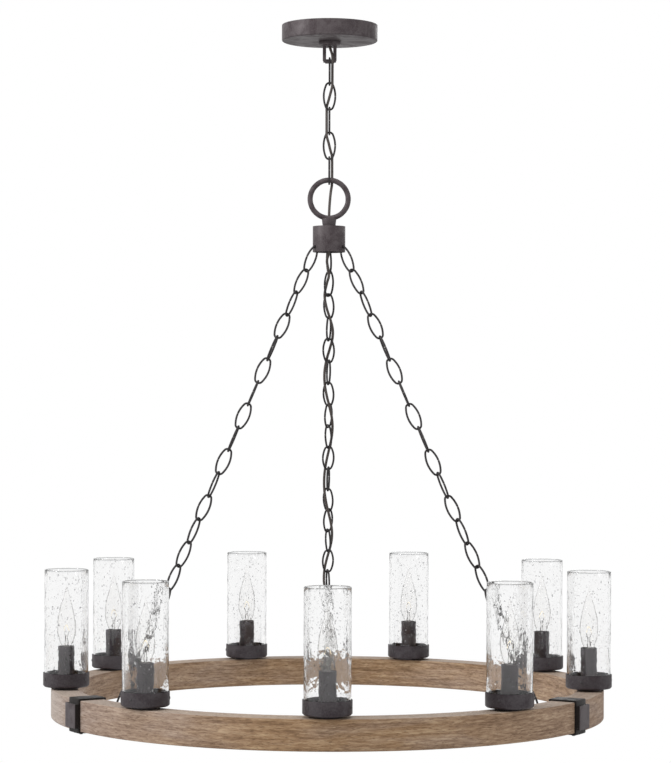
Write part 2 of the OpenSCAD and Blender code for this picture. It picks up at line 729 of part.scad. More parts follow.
module bulb(k) {
    color(glass_tint, 0.5) at_angle(lamp_angle(k - 1), lamp_r) {
        translate([0, 0, bulb_shoulder]) rotate_extrude() difference() {
            flame(0);
            flame(bulb_wall);
        }
        translate([0, 0, base_foot + 2]) cylinder(d = bulb_base_d, h = bulb_base_len - 2);
        translate([0, 0, base_foot]) cylinder(d1 = bulb_base_d / 2, d2 = bulb_base_d - 1, h = 2 + EPS);
    }
}

// ---- Wiring ----

function unit(v) = v / norm(v);

// Point on a smooth curve through the points p, at t between p[i] and p[i + 1]
function on_curve(p, i, t) =
    let (n = len(p) - 1, a = p[max(i - 1, 0)], b = p[i], c = p[min(i + 1, n)], d = p[min(i + 2, n)])
    0.5 * (2 * b + (c - a) * t + (2 * a - 5 * b + 4 * c - d) * t * t + (3 * b - a - 3 * c + d) * t * t * t);

// The curve at even steps of its parameter, with as many points as the step in millimetres asks for
function curve_points(p, step) = concat(
    [for (i = [0:len(p) - 2]) let (parts = max(1, round(norm(p[i + 1] - p[i]) / step)))
        for (j = [0:parts - 1]) on_curve(p, i, j / parts)],
    [p[len(p) - 1]]
);

// Round tube along the points p
module cord(p, d) {
    n = len(p);
    rings = [for (i = [0:n - 1])
        let (along = unit(p[min(i + 1, n - 1)] - p[max(i - 1, 0)]),
             across = unit(cross(along, [1, 0, 0])), third = cross(along, across))
        for (j = [0:CORD_SIDES - 1]) let (a = 360 * j / CORD_SIDES)
            p[i] + d / 2 * (cos(a) * across + sin(a) * third)];
    sides = [for (i = [0:n - 2]) for (j = [0:CORD_SIDES - 1])
        let (a = i * CORD_SIDES + j, b = i * CORD_SIDES + (j + 1) % CORD_SIDES)
        for (f = [[a, a + CORD_SIDES, b + CORD_SIDES], [a, b + CORD_SIDES, b]]) f];
    ends = [[for (j = [0:CORD_SIDES - 1]) j], [for (j = [CORD_SIDES - 1:-1:0]) (n - 1) * CORD_SIDES + j]];
    polyhedron(points = rings, faces = concat(sides, ends));
}

module power_cord() {
    ends = concat(POWER_ROUTE, [[0, 0, join_z]]);
    color(cord_brown) cord(curve_points(ends, CORD_STEP * cord_d), cord_d);
}

// Point beside the back chain at its joint k, off its middle by across (in its upright plane) and side
function chain_point(k, across, side) = let (s = k * pitch) [
    -side,
    hang_r + s * sin(chain_lean) + across * cos(chain_lean),
    hang_z - s * cos(chain_lean) + across * sin(chain_lean)
];
function beside_chain(places) = [for (q = places) chain_point(q[0], q[1], q[2])];

// The cord passes the joint below link k between the two links, a quarter turn on from the joint before
function wind_turn(k) = chain_sway(k + 0.5, BACK_BOW, BACK_WAVE) + WIND_START + 90 * k;

module feed_cord() {
    out = [for (q = HUB_ROUTE) [q[1], q[0], join_z - CORD_PLAY + q[2]]];
    wound = [for (k = [WIND_FIRST:0.5:WIND_LAST]) let (a = wind_turn(k))
        chain_point(k, cord_wind_r * cos(a), cord_wind_r * sin(a))];
    into = [for (q = BUSH_ROUTE) [-bush_side + q[1], sleeve_in_r - bush_head + q[0], bush_z + q[2]]];
    route = concat(out, beside_chain(INTO_CHAIN), wound, beside_chain(OUT_OF_CHAIN), into);
    color(cord_brown) cord(curve_points(route, CORD_STEP * cord_d), cord_d);
}

module cord_bush() {
    angle = JOINT_ANGLES[2];
    seat = seat_on_sleeve(abs(bush_side) + bush_head_d / 2);
    color(dark_metal) rotate([0, 0, angle]) translate([seat, bush_side, bush_z]) rotate([0, 90, 0])
        difference() {
            union() {
                translate([0, 0, -bush_head]) cylinder(d = bush_head_d, h = bush_head);
                cylinder(d = bush_d, h = bush_len);
            }
            translate([0, 0, -bush_head - EPS])
                cylinder(d = cord_d + 2 * FIT, h = bush_head + bush_len + 2 * EPS);
        }
}

module ring_harness() {
    wall_gap = 0.5;
    strip_gap = 2;
    harness_r = lamp_r + channel_w / 2 - harness_d / 2 - wall_gap;
    z = rim_foot + strip_t + harness_d / 2 + strip_gap;
    color("#8c8c86") {
        translate([0, 0, z]) rotate_extrude($fn = 180) translate([harness_r, 0])
            circle(d = harness_d, $fn = 24);
        each_lamp() {
            translate([0, 0, z]) cylinder(d = lead_d, h = socket_foot - z + 1);
            translate([0, 0, z]) rotate([0, 90, 0]) cylinder(d = lead_d, h = harness_r - lamp_r);
        }
    }
}

crossbar();
ceiling_nipple();
ceiling_locknut();
canopy();
loop_collar();
canopy_loop();
power_cord();
top_link(1);  // chain_link_1
top_link(2);  // chain_link_2
top_link(3);  // chain_link_3
top_link(4);  // chain_link_4
top_link(5);  // chain_link_5
hub_loop();
hub();
hub_nipple();
hub_locknut();
wheel_chain(JOINT_ANGLES[0], SIDE_BOW, SIDE_WAVE, -1);  // wheel_chain_left
wheel_chain(JOINT_ANGLES[1], SIDE_BOW, SIDE_WAVE, 1);  // wheel_chain_right
wheel_chain(JOINT_ANGLES[2], BACK_BOW, BACK_WAVE, 1);  // wheel_chain_back
chain_eyes();
eye_nuts();
wood_rail(0);  // wood_rail_1
wood_rail(1);  // wood_rail_2
wood_rail(2);  // wood_rail_3
rail_joint(0);  // rail_joint_1
rail_joint(1);  // rail_joint_2
rail_joint(2);  // rail_joint_3
joint_screws();
wireway_strips();
strip_screws();
lamp_cups();
cup_spacers();
candle_sleeves();
lamp_sockets();
lamp_nipples();
lamp_nuts();
set_screws();
feed_cord();
cord_bush();
ring_harness();
glass_shade(1);  // glass_shade_1
glass_shade(2);  // glass_shade_2
glass_shade(3);  // glass_shade_3
glass_shade(4);  // glass_shade_4
glass_shade(5);  // glass_shade_5
glass_shade(6);  // glass_shade_6
glass_shade(7);  // glass_shade_7
glass_shade(8);  // glass_shade_8
glass_shade(9);  // glass_shade_9
bulb(1);  // bulb_1
bulb(2);  // bulb_2
bulb(3);  // bulb_3
bulb(4);  // bulb_4
bulb(5);  // bulb_5
bulb(6);  // bulb_6
bulb(7);  // bulb_7
bulb(8);  // bulb_8
bulb(9);  // bulb_9
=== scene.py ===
"""Looks of a wagon wheel chandelier, built around its CAD model.

Laid out as an add-on: sizes and finishes are scene properties, and each piece or
group of like pieces has an operator. Lengths are metres, in the frame of the CAD.
"""

import math

import bmesh
import bpy
from bpy.props import FloatProperty, FloatVectorProperty, IntProperty, PointerProperty
from bpy.types import Operator, Panel, PropertyGroup
from mathutils import Matrix, Vector, noise


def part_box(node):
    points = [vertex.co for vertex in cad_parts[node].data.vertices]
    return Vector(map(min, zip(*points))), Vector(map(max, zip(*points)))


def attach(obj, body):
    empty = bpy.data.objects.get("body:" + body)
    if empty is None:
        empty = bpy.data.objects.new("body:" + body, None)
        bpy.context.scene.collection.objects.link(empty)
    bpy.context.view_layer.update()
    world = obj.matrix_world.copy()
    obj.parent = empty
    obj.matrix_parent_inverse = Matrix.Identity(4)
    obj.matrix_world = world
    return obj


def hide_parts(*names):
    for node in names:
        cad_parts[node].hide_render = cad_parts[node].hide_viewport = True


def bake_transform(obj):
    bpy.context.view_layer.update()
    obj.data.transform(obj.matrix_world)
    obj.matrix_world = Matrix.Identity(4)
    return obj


bl_info = {
    "name": "Wagon Wheel Chandelier",
    "version": (1, 0, 0),
    "blender": (4, 5, 0),
    "location": "View3D > Sidebar > Chandelier",
    "description": "Builds the looks of a wagon wheel chandelier",
    "category": "Add Mesh",
}

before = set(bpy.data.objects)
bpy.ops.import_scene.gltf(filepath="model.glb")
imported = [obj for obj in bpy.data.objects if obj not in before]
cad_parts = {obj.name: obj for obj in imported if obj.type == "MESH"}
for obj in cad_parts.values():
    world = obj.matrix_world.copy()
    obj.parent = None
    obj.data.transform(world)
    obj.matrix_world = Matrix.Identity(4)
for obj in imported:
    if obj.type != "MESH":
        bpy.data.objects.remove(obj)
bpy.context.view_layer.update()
MM = 0.001
TURN = 2 * math.pi
FRONT = math.radians(270)
# Where the rim's left, right and back joint are
JOINTS = (FRONT - TURN / 6, FRONT + TURN / 6, FRONT + TURN / 2)
LAMPS = 9
LAMP_CIRCLE = 457.5 * MM


def heights(node):
    """Lowest and highest point of a CAD node."""
    low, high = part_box(node)
    return low[2], high[2]


RIM_FOOT, RIM_TOP = heights("wood_rail_1")
HUB_FOOT, HUB_TOP = heights("hub")
CUP_FOOT = heights("lamp_cups")[0]
GLASS_FOOT, GLASS_TOP = heights("glass_shade_1")
CANDLE_FOOT, CANDLE_TOP = heights("candle_sleeves")
BULB_FOOT, BULB_TIP = heights("bulb_1")
# Radius outside which a joint's plates keep the metal's colour; further in, their sides get painted
# near-black shade
JOINT_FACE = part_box("rail_joint_3")[1][1] - 0.3 * MM


def lamp_centre(i):
    """Where lamp i stands, seen from above."""
    angle, circle = FRONT + TURN * i / LAMPS, bpy.context.scene.chandelier_lamp.circle
    return circle * math.cos(angle), circle * math.sin(angle)


def opaque(colour):
    """A finish's colour with the alpha that a shader's socket wants."""
    return tuple(colour) + (1,)


def srgb(r, g, b):
    """A colour given as on a paint chip, 0 to 255, in the renderer's linear light."""
    def linear(c):
        c /= 255
        return c / 12.92 if c <= 0.04045 else ((c + 0.055) / 1.055) ** 2.4
    return (linear(r), linear(g), linear(b), 1.0)


# ---- Node graphs ----


class Val:
    """A socket in a node graph. Python arithmetic on it adds Math nodes."""

    def __init__(self, graph, socket):
        self.graph, self.socket = graph, socket

    def math(self, operation, *values):
        return self.graph.node("ShaderNodeMath", {"operation": operation}, list(values))

    def __add__(self, other):
        return self.math("ADD", self, other)

    def __sub__(self, other):
        return self.math("SUBTRACT", self, other)

    def __rsub__(self, other):
        return self.math("SUBTRACT", other, self)

    def __mul__(self, other):
        return self.math("MULTIPLY", self, other)

    def __truediv__(self, other):
        return self.math("DIVIDE", self, other)

    def __rtruediv__(self, other):
        return self.math("DIVIDE", other, self)

    def __pow__(self, other):
        return self.math("POWER", self, other)

    def __gt__(self, other):
        return self.math("GREATER_THAN", self, other)

    def __lt__(self, other):
        return self.math("LESS_THAN", self, other)

    def sin(self):
        return self.math("SINE", self)

    def cos(self):
        return self.math("COSINE", self)

    def root(self):
        return self.math("SQRT", self)

    __radd__, __rmul__ = __add__, __mul__

    def between(self, low, high, to_low=0.0, to_high=1.0):
        """Maps low..high to to_low..to_high and clamps."""
        return self.graph.node("ShaderNodeMapRange", {"clamp": True},
                               [self, low, high, to_low, to_high])


class Graph:
    """A node tree that is written as Python expressions."""

    def __init__(self, tree):
        self.tree = tree

    def node(self, kind, settings=None, inputs=None, out=0):
        """A node of this kind: its settings first, then the values or links of its sockets.

        A setting called "stops" holds the (place, colour) pairs of a colour ramp.
        """
        made = self.tree.nodes.new(kind)
        for key, value in (settings or {}).items():
            if key == "stops":
                ramp = made.color_ramp.elements
                while len(ramp) < len(value):
                    ramp.new(0.5)
                for stop, (place, colour) in zip(ramp, value):
                    stop.position, stop.color = place, colour
            else:
                setattr(made, key, value)
        pairs = inputs.items() if isinstance(inputs, dict) else enumerate(inputs or [])
        for key, value in pairs:
            if value is None:
                continue
            socket = made.inputs[key]
            if isinstance(value, Val):
                self.tree.links.new(value.socket, socket)
            else:
                socket.default_value = value
        return Val(self, made.outputs[out]) if made.outputs else made


class Look(Graph):
    """A material on a Principled shader."""

    def __init__(self, name):
        self.material = bpy.data.materials.new(name)
        self.material.use_nodes = True
        super().__init__(self.material.node_tree)
        self.shader = self.tree.nodes["Principled BSDF"]

    def place(self):
        return self.node("ShaderNodeTexCoord", out="Object")

    def normal(self):
        return self.node("ShaderNodeTexCoord", out="Normal")

    def mark(self, name):
        """A number that the mesh carries for each of its points."""
        return self.node("ShaderNodeAttribute", {"attribute_name": name}, out="Fac")

    def edge(self):
        """0 where glass is looked at squarely, 1 where it is seen on edge."""
        return self.node("ShaderNodeLayerWeight", None, {"Blend": 0.5}, out="Facing")

    def split(self, vector):
        first = self.node("ShaderNodeSeparateXYZ", None, [vector])
        return [Val(self, socket) for socket in first.socket.node.outputs]

    def join(self, x, y, z):
        return self.node("ShaderNodeCombineXYZ", None, [x, y, z])

    def noise(self, vector, scale, detail=3.0, rough=0.55, warp=0.0):
        return self.node("ShaderNodeTexNoise", None,
                         {"Vector": vector, "Scale": scale, "Detail": detail, "Roughness": rough,
                          "Distortion": warp})

    def ramp(self, value, stops):
        return self.node("ShaderNodeValToRGB", {"stops": stops}, [value])

    def mix(self, share, a, b):
        """Colour a where share is 0, b where it is 1."""
        return self.node("ShaderNodeMix", {"data_type": "RGBA"}, {0: share, 6: a, 7: b}, out=2)

    def relief(self, height, strength, distance):
        bump = self.node("ShaderNodeBump", None,
                         {"Height": height, "Strength": strength, "Distance": distance})
        self.tree.links.new(bump.socket, self.shader.inputs["Normal"])

    def paint(self, **sockets):
        """Sets sockets of the Principled shader: base_color=..., roughness=..."""
        for key, value in sockets.items():
            socket = self.shader.inputs[key.replace("_", " ").title().replace("Ior", "IOR")]
            if isinstance(value, Val):
                self.tree.links.new(value.socket, socket)
            else:
                socket.default_value = value
        return self.material


class Grower(Graph):
    """A Geometry Nodes tree with named inputs, which is run once and turned into a plain mesh."""

    KINDS = {"length": "NodeSocketFloat", "angle": "NodeSocketFloat", "count": "NodeSocketInt",
             "piece": "NodeSocketObject", "finish": "NodeSocketMaterial"}

    def __init__(self, name):
        super().__init__(bpy.data.node_groups.new(name, "GeometryNodeTree"))
        self.sockets = {}
        for way in ("INPUT", "OUTPUT"):
            self.tree.interface.new_socket("Geometry", in_out=way, socket_type="NodeSocketGeometry")
        self.entry = self.tree.nodes.new("NodeGroupInput")
        self.exit = self.tree.nodes.new("NodeGroupOutput")

    def input(self, name, kind):
        self.sockets[name] = self.tree.interface.new_socket(
            name, in_out="INPUT", socket_type=self.KINDS[kind])
        return Val(self, self.entry.outputs[name])

    def base(self):
        return Val(self, self.entry.outputs[0])

    def index(self):
        return self.node("GeometryNodeInputIndex")

    def vector(self, x, y, z):
        return self.node("ShaderNodeCombineXYZ", None, [x, y, z])

    def shape_of(self, piece):
        return self.node("GeometryNodeObjectInfo", {"transform_space": "ORIGINAL"}, [piece], out="Geometry")

    def moved(self, shape, translation=None, rotation=None):
        return self.node("GeometryNodeTransform", None,
                         {"Geometry": shape, "Translation": translation, "Rotation": rotation})

    def shifted(self, shape, x, y, z):
        return self.node("GeometryNodeSetPosition", None,
                         {"Geometry": shape, "Offset": self.vector(x, y, z)})

    def copies(self, points, shape, rotation, scale=None):
        turned = self.node("FunctionNodeEulerToRotation", None, [rotation])
        return self.node("GeometryNodeInstanceOnPoints", None,
                         {"Points": points, "Instance": shape, "Rotation": turned, "Scale": scale})

    def finish(self, shape, material):
        """The end of every tree: real faces with their material."""
        real = self.node("GeometryNodeRealizeInstances", None, [shape])
        done = self.node("GeometryNodeSetMaterial", None, {"Geometry": real, "Material": material})
        self.tree.links.new(done.socket, self.exit.inputs[0])

    def grow(self, name, values, base=None):
        """A new object with this tree's result as its mesh."""
        obj = add_object(name, base or bpy.data.meshes.new(name))
        modifier = obj.modifiers.new("Grow", "NODES")
        modifier.node_group = self.tree
        for key, value in values.items():
            modifier[self.sockets[key].identifier] = value
        return settle(obj)


# ---- Meshes ----

SAME = 1e-7  # points closer than this are one


def add_object(name, data):
    obj = bpy.data.objects.new(name, data)
    bpy.context.scene.collection.objects.link(obj)
    return obj


def settle(obj):
    """Turns an object with modifiers into a plain mesh."""
    depsgraph = bpy.context.evaluated_depsgraph_get()
    depsgraph.update()
    mesh = bpy.data.meshes.new_from_object(obj.evaluated_get(depsgraph), depsgraph=depsgraph)
    obj.modifiers.clear()
    old, obj.data = obj.data, mesh
    mesh.name = obj.name
    if old.users == 0:
        bpy.data.meshes.remove(old)
    return obj


def from_bmesh(name, bm, material=None, smooth=35):
    """An object from a bmesh, smooth except over edges sharper than this angle."""
    bmesh.ops.remove_doubles(bm, verts=bm.verts, dist=SAME)
    bmesh.ops.recalc_face_normals(bm, faces=bm.faces)
    limit = math.radians(smooth)
    for face in bm.faces:
        face.smooth = True
    for edge in bm.edges:
        edge.smooth = len(edge.link_faces) == 2 and edge.calc_face_angle(0) < limit
    mesh = bpy.data.meshes.new(name)
    bm.to_mesh(mesh)
    bm.free()
    if material:
        mesh.materials.append(material)
    return add_object(name, mesh)


def soften(corners, radius, steps=3):
    """A closed outline with its corners rounded, apart from those that are nearly straight."""
    out = []
    n = len(corners)
    longest = 0.48  # share of a side that a corner may take
    for i in range(n):
        a, b, c = (Vector(corners[(i + k) % n]) for k in (-1, 0, 1))
        to_a, to_c = (a - b), (c - b)
        half = to_a.angle(to_c, math.pi) / 2
        if half > math.radians(87):
            out.append(tuple(b))
            continue
        cut = min(radius / math.tan(half), to_a.length * longest, to_c.length * longest)
        start, end = b + to_a.normalized() * cut, b + to_c.normalized() * cut
        for k in range(steps + 1):
            t = k / steps
            out.append(tuple(start * (1 - t) ** 2 + b * 2 * t * (1 - t) + end * t * t))
    return out


def lathe(bm, outline, steps=64, centre=(0, 0), closed=True):
    """Turns an outline of (radius, height) round a vertical axis. A closed outline makes a ring."""
    x, y = centre
    rows = []
    for r, z in outline:
        if r < SAME:
            rows.append([bm.verts.new((x, y, z))])
        else:
            rows.append([bm.verts.new((x + r * math.cos(TURN * i / steps),
                                       y + r * math.sin(TURN * i / steps), z)) for i in range(steps)])
    for a, b in zip(rows, rows[1:] + (rows[:1] if closed else [])):
        if len(a) == len(b) == 1:
            continue
        for i in range(steps):
            j = (i + 1) % steps
            corners = [a[i % len(a)], a[j % len(a)], b[j % len(b)], b[i % len(b)]]
            bm.faces.new(list(dict.fromkeys(corners)))


def tube(bm, path, radius, sides=12, closed=False, thickness=None, layer=None, marks=None):
    """A round tube along a path; thickness gives each point's share of the radius.

    With a layer, marks gives what each of the path's points writes there.
    """
    points = [Vector(p) for p in path]
    n = len(points)
    rings = []
    across = None
    for i, p in enumerate(points):
        before = points[(i - 1) % n] if closed else points[max(i - 1, 0)]
        after = points[(i + 1) % n] if closed else points[min(i + 1, n - 1)]
        along = (after - before).normalized()
        if across is None:
            across = along.orthogonal().normalized()
        across = (across - along * across.dot(along)).normalized()
        third = along.cross(across)
        r = radius * (thickness[i] if thickness else 1)
        ring = []
        for k in range(sides):
            a = TURN * k / sides
            vert = bm.verts.new(p + (across * math.cos(a) + third * math.sin(a)) * r)
            if layer is not None:
                vert[layer] = marks[i]
            ring.append(vert)
        rings.append(ring)
    for a, b in zip(rings, rings[1:] + (rings[:1] if closed else [])):
        for k in range(sides):
            bm.faces.new([a[k], a[(k + 1) % sides], b[(k + 1) % sides], b[k]])
    if not closed:
        bm.faces.new(rings[0][::-1])
        bm.faces.new(rings[-1])


def along_curve(points, step):
    """A smooth curve through the points, in steps of about this length."""
    p = [Vector(q) for q in points]
    n = len(p) - 1
    out = []
    for i in range(n):
        a, b, c, d = p[max(i - 1, 0)], p[i], p[i + 1], p[min(i + 2, n)]
        parts = max(1, round((c - b).length / step))
        for t in (k / parts for k in range(parts)):
            out.append(0.5 * (2 * b + (c - a) * t + (2 * a - 5 * b + 4 * c - d) * t * t
                              + (3 * b - a - 3 * c + d) * t ** 3))
    return out + [p[-1]]


def softened_copy(node, name, material, width):
    """A copy of a CAD node with its triangles merged and its edges eased by this width."""
    bm = bmesh.new()
    bm.from_mesh(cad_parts[node].data)
    bm.transform(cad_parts[node].matrix_world)
    bmesh.ops.remove_doubles(bm, verts=bm.verts, dist=2e-6)
    bmesh.ops.dissolve_limit(bm, angle_limit=math.radians(0.6), verts=bm.verts, edges=bm.edges)
    obj = from_bmesh(name, bm, material)
    bevel = obj.modifiers.new("Ease", "BEVEL")
    bevel.width, bevel.segments, bevel.limit_method = width, 2, "ANGLE"
    bevel.angle_limit = math.radians(40)
    bevel.harden_normals = False
    settle(obj)
    bm = bmesh.new()
    bm.from_mesh(obj.data)
    bpy.data.objects.remove(obj)
    return from_bmesh(name, bm, material)


# ---- Finishes ----


GRAIN_R = 0.46  # turns an angle round the rim into metres along its grain
BOARD_SHIFT = 3.7  # takes the next rail's pattern from another board


def wood_look():
    """Weathered wood whose grain runs round the rim; each rail has its own boards."""
    look = Look("weathered_wood")
    x, y, z = look.split(look.place())
    turn = x.math("ARCTAN2", x, 0 - y)
    rail = (turn > math.pi / 3) - (turn < -math.pi / 3)
    arc = turn * GRAIN_R + rail * BOARD_SHIFT
    out = (x * x + y * y).root()
    tint = bpy.context.scene.chandelier_finish

    def grained(along, across, upright, detail, rough, warp=0.0):
        """Noise with so many cells a metre along the grain, across it and upwards."""
        return look.noise(look.join(arc * along, out * across, z * upright), 1.0, detail, rough, warp)

    broad = grained(5, 14, 22, 3, 0.6, 0.4)
    bands = grained(9, 110, 150, 5, 0.62, 0.9)
    fibre = grained(58, 330, 360, 4, 0.7, 0.3)
    pores = grained(120, 560, 620, 2, 0.6)
    grain = bands * 0.5 + fibre * 0.5
    colour = look.ramp(grain, [(0.37, opaque(tint.wood_dark)), (0.5, opaque(tint.wood)),
                               (0.63, opaque(tint.wood_light))])
    # Greyer towards the left and the right, less so at the back, and palest at the far left
    left, right = (0 - x).between(0.10, 0.46, 0, 0.75), x.between(0.12, 0.46, 0, 0.40)
    side_grey = (left + right) * y.between(-0.1, 0.2, 1, 0.45)
    grey = (broad.between(0.42, 0.68) * 0.35 + side_grey).between(0, 0.95)
    silver = look.mix(grain.between(0.36, 0.64), srgb(124, 106, 96), srgb(180, 164, 155))
    colour = look.mix(grey, colour, silver)
    colour = look.mix(x.between(-0.48, -0.43, 0.55, 0), colour, srgb(196, 188, 180))
    # Lighter on top: dust, and painted light where the lamps fall on the top; darker along the open grain
    # and at the foot
    top = look.split(look.normal())[2].between(0.5, 0.8, 0, 0.6)
    colour = look.mix(top, colour, srgb(170, 156, 144))
    line = pores.between(0.32, 0.44, 0.55, 0)
    colour = look.mix(line, colour, srgb(92, 69, 52))
    foot = z.between(RIM_FOOT, RIM_FOOT + 0.005, 0.3, 0)
    colour = look.mix(foot * (broad + 0.3), colour, srgb(92, 70, 54))
    look.relief(fibre * 0.6 + bands * 0.8 - line, 0.55, 0.0006)
    return look.paint(base_color=colour, roughness=fibre.between(0.3, 0.7, 0.78, 0.62),
                      specular_ior_level=0.25)


def metal_look(name, colour, warm, spread, rough, metallic, face=None):
    """Matte metal with a mottled finish; warm is the colour of its worn clouds.

    With a face, only what lies further out than that radius keeps the metal's colour; the rest gets painted
    near-black shade.
    """
    look = Look(name)
    place = look.place()
    clouds = look.noise(place, 34, 5, 0.62, 0.8)
    fine = look.noise(place, 420, 4, 0.65)
    base = look.mix(clouds.between(0.44, 0.60, 0, spread), opaque(colour), opaque(warm))
    base = look.mix(fine.between(0.40, 0.70, 0, 0.22), base, srgb(112, 107, 108))
    if face:
        x, y, _ = look.split(place)
        # Painted shade: the joints' side faces, which lie in shadow, are painted near-black
        painted_side_shade = look.mix(fine.between(0.35, 0.65), srgb(16, 13, 12), srgb(32, 27, 25))
        base = look.mix((x * x + y * y).root().between(face - 0.0008, face), painted_side_shade, base)
    look.relief(fine + clouds * 0.8, 0.4, 0.0003)
    return look.paint(base_color=base, roughness=clouds.between(0.3, 0.7, rough - 0.10, rough + 0.10),
                      metallic=metallic, specular_ior_level=0.2)


def chain_look():
    """Charcoal wire with a bare line at each weld."""
    look = Look("chain_wire")
    fine = look.noise(look.place(), 300, 4, 0.6)
    tint = opaque(bpy.context.scene.chandelier_finish.chain)
    base = look.mix(fine.between(0.35, 0.7, 0, 0.4), tint, srgb(60, 57, 58))
    base = look.mix(look.mark("seam") * 0.6, base, srgb(120, 117, 114))
    look.relief(fine, 0.15, 0.0001)
    return look.paint(base_color=base, roughness=fine.between(0.3, 0.7, 0.55, 0.70),
                      specular_ior_level=0.3)


def cord_look():
    """Matte, slightly grainy sheath of the supply cord."""
    look = Look("cord_sheath")
    fine = look.noise(look.place(), 700, 3, 0.6)
    base = look.mix(fine.between(0.35, 0.65), srgb(54, 47, 44), srgb(74, 66, 62))
    look.relief(fine, 0.3, 0.0002)
    return look.paint(base_color=base, roughness=fine.between(0.3, 0.7, 0.5, 0.66))


def glass_look():
    """Seeded glass: clear and rippled, with a painted grey reflection where the wall is seen on edge."""
    look = Look("seeded_glass")
    x, y, z = look.split(look.place())
    skin = look.mark("skin") * 40  # gives the outer wall another pattern than the inner one
    streak = look.noise(look.join(x * 70 + skin, y * 70, z * 22), 1.0, 3, 0.55, 1.2)
    ripple = look.noise(look.join(x * 34 + skin, y * 34, z * 30 + skin), 1.0, 2, 0.5, 0.8)
    specks = look.noise(look.join(x * 240 + skin, y * 240, z * 170), 1.0, 1, 0.5)
    # Painted reflection: grey where the wall is seen on edge, standing in for dark surroundings mirrored in
    # it
    base = look.mix(look.edge().between(0.70, 0.96) ** 1.5, srgb(251, 251, 251), srgb(142, 144, 146))
    base = look.mix(specks.between(0.70, 0.76), base, srgb(140, 140, 142))
    rims = z.between(GLASS_TOP - 0.0030, GLASS_TOP - 0.0010)
    base = look.mix(rims * 0.6, base, srgb(178, 180, 182))
    look.relief(streak * 0.5 + ripple, 0.6, 0.0009)
    return look.paint(base_color=base, roughness=0.0, ior=1.45, transmission_weight=1.0)


def bulb_look():
    """Thin clear glass of a flame-tip lamp, warm in its middle, with a painted grey reflection on edge."""
    look = Look("bulb_glass")
    edge = look.edge()
    # Painted reflection: the bulb's edges turn grey and more opaque
    alpha = edge.between(0.48, 0.88) ** 1.5 * 0.85 + 0.05
    base = look.mix(edge.between(0.35, 0.75), srgb(236, 230, 220), srgb(96, 94, 93))
    look.material.surface_render_method = "BLENDED"
    return look.paint(base_color=base, roughness=0.04, alpha=alpha.between(0, 1), ior=1.45)


def seed_look():
    """The little air bubbles in the glass."""
    look = Look("glass_seed")
    fine = look.noise(look.place(), 900, 1, 0.5)
    base = look.mix(fine.between(0.40, 0.60), srgb(84, 85, 88), srgb(252, 252, 253))
    look.material.surface_render_method = "BLENDED"
    return look.paint(base_color=base, roughness=0.08, alpha=0.72)


def plain_look(name, colour, rough, metallic=0.0, grain=260, spread=0.25, bump=0.0001):
    """A plain finish with the slight unevenness of a real one."""
    look = Look(name)
    fine = look.noise(look.place(), grain, 3, 0.6)
    darker = opaque(c * (1 - spread) for c in colour[:3])
    look.relief(fine, 0.2, bump)
    return look.paint(base_color=look.mix(fine.between(0.3, 0.7), darker, colour),
                      roughness=fine.between(0.3, 0.7, rough - 0.06, rough + 0.06), metallic=metallic)


def filament_look():
    """The warm glow at the filament."""
    look = Look("filament")
    fine = look.noise(look.place(), 500, 1, 0.5)
    glow = look.mix(fine, srgb(236, 218, 178), srgb(246, 234, 206))
    return look.paint(base_color=glow, roughness=0.5, emission_color=glow, emission_strength=0.5)


def zinc_look(name, metallic, face=None):
    tint = bpy.context.scene.chandelier_finish
    return metal_look(name, tint.zinc, tint.zinc_warm, 0.85, 0.52, metallic, face)


def cup_look():
    tint = bpy.context.scene.chandelier_finish
    return metal_look("cup_metal", tint.cup, tint.cup_warm, 0.8, 0.50, 0.15)


LOOK_MAKERS = {
    "wood": wood_look,
    "zinc": lambda: zinc_look("aged_zinc", 0.15),
    # The joints' zinc, with painted shade on their sides
    "joint": lambda: zinc_look("joint_zinc", 0.1, JOINT_FACE),
    "cup": cup_look,
    "chain": chain_look,
    "cord": cord_look,
    "glass": glass_look,
    "bulb": bulb_look,
    "seed": seed_look,
    "filament": filament_look,
    "brass": lambda: plain_look("brass", srgb(186, 156, 98), 0.32, 0.9),
    "porcelain": lambda: plain_look("porcelain", srgb(228, 224, 214), 0.35, 0, 120, 0.06),
    "wire": lambda: plain_look("wire_sleeve", srgb(150, 150, 146), 0.5),
    "hardware": lambda: plain_look("dark_hardware", srgb(66, 63, 65), 0.45, 0.5),
}
LOOKS = {}


def look_of(name):
    """The material of this name, made when it is first asked for."""
    if name not in LOOKS:
        LOOKS[name] = LOOK_MAKERS[name]()
    return LOOKS[name]


def dress(look, *nodes):
    """Gives CAD nodes that keep their shape a finish."""
    for node in nodes:
        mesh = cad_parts[node].data
        mesh.materials.clear()
        mesh.materials.append(look_of(look))


def settle_piece(obj, body, slot, *nodes):
    """Ties a finished piece to its body and hides the CAD nodes it stands for; slot is not used."""
    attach(obj, body)
    if nodes:
        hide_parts(*nodes)
    return obj


def add_piece(name, bm, look, smooth, body, slot, *nodes):
    """A finished piece from a bmesh."""
    return settle_piece(from_bmesh(name, bm, look_of(look), smooth), body, slot, *nodes)


def add_eased(node, name, look, width, body, slot):
    """A CAD node's shape with its edges eased, in the node's place."""
    settle_piece(softened_copy(node, name, look_of(look), width), body, slot, node)


# ---- Sizes and colours ----


def length(name, description, default, low, high):
    """A size, with its default and range in millimetres."""
    return FloatProperty(name=name, description=description, default=default * MM, min=low * MM,
                         max=high * MM, subtype="DISTANCE", unit="LENGTH", precision=4)


def number(name, description, default, low, high):
    return IntProperty(name=name, description=description, default=default, min=low, max=high)


def colour(name, description, default):
    return FloatVectorProperty(name=name, description=description, default=default[:3], min=0, max=1,
                               size=3, subtype="COLOR")


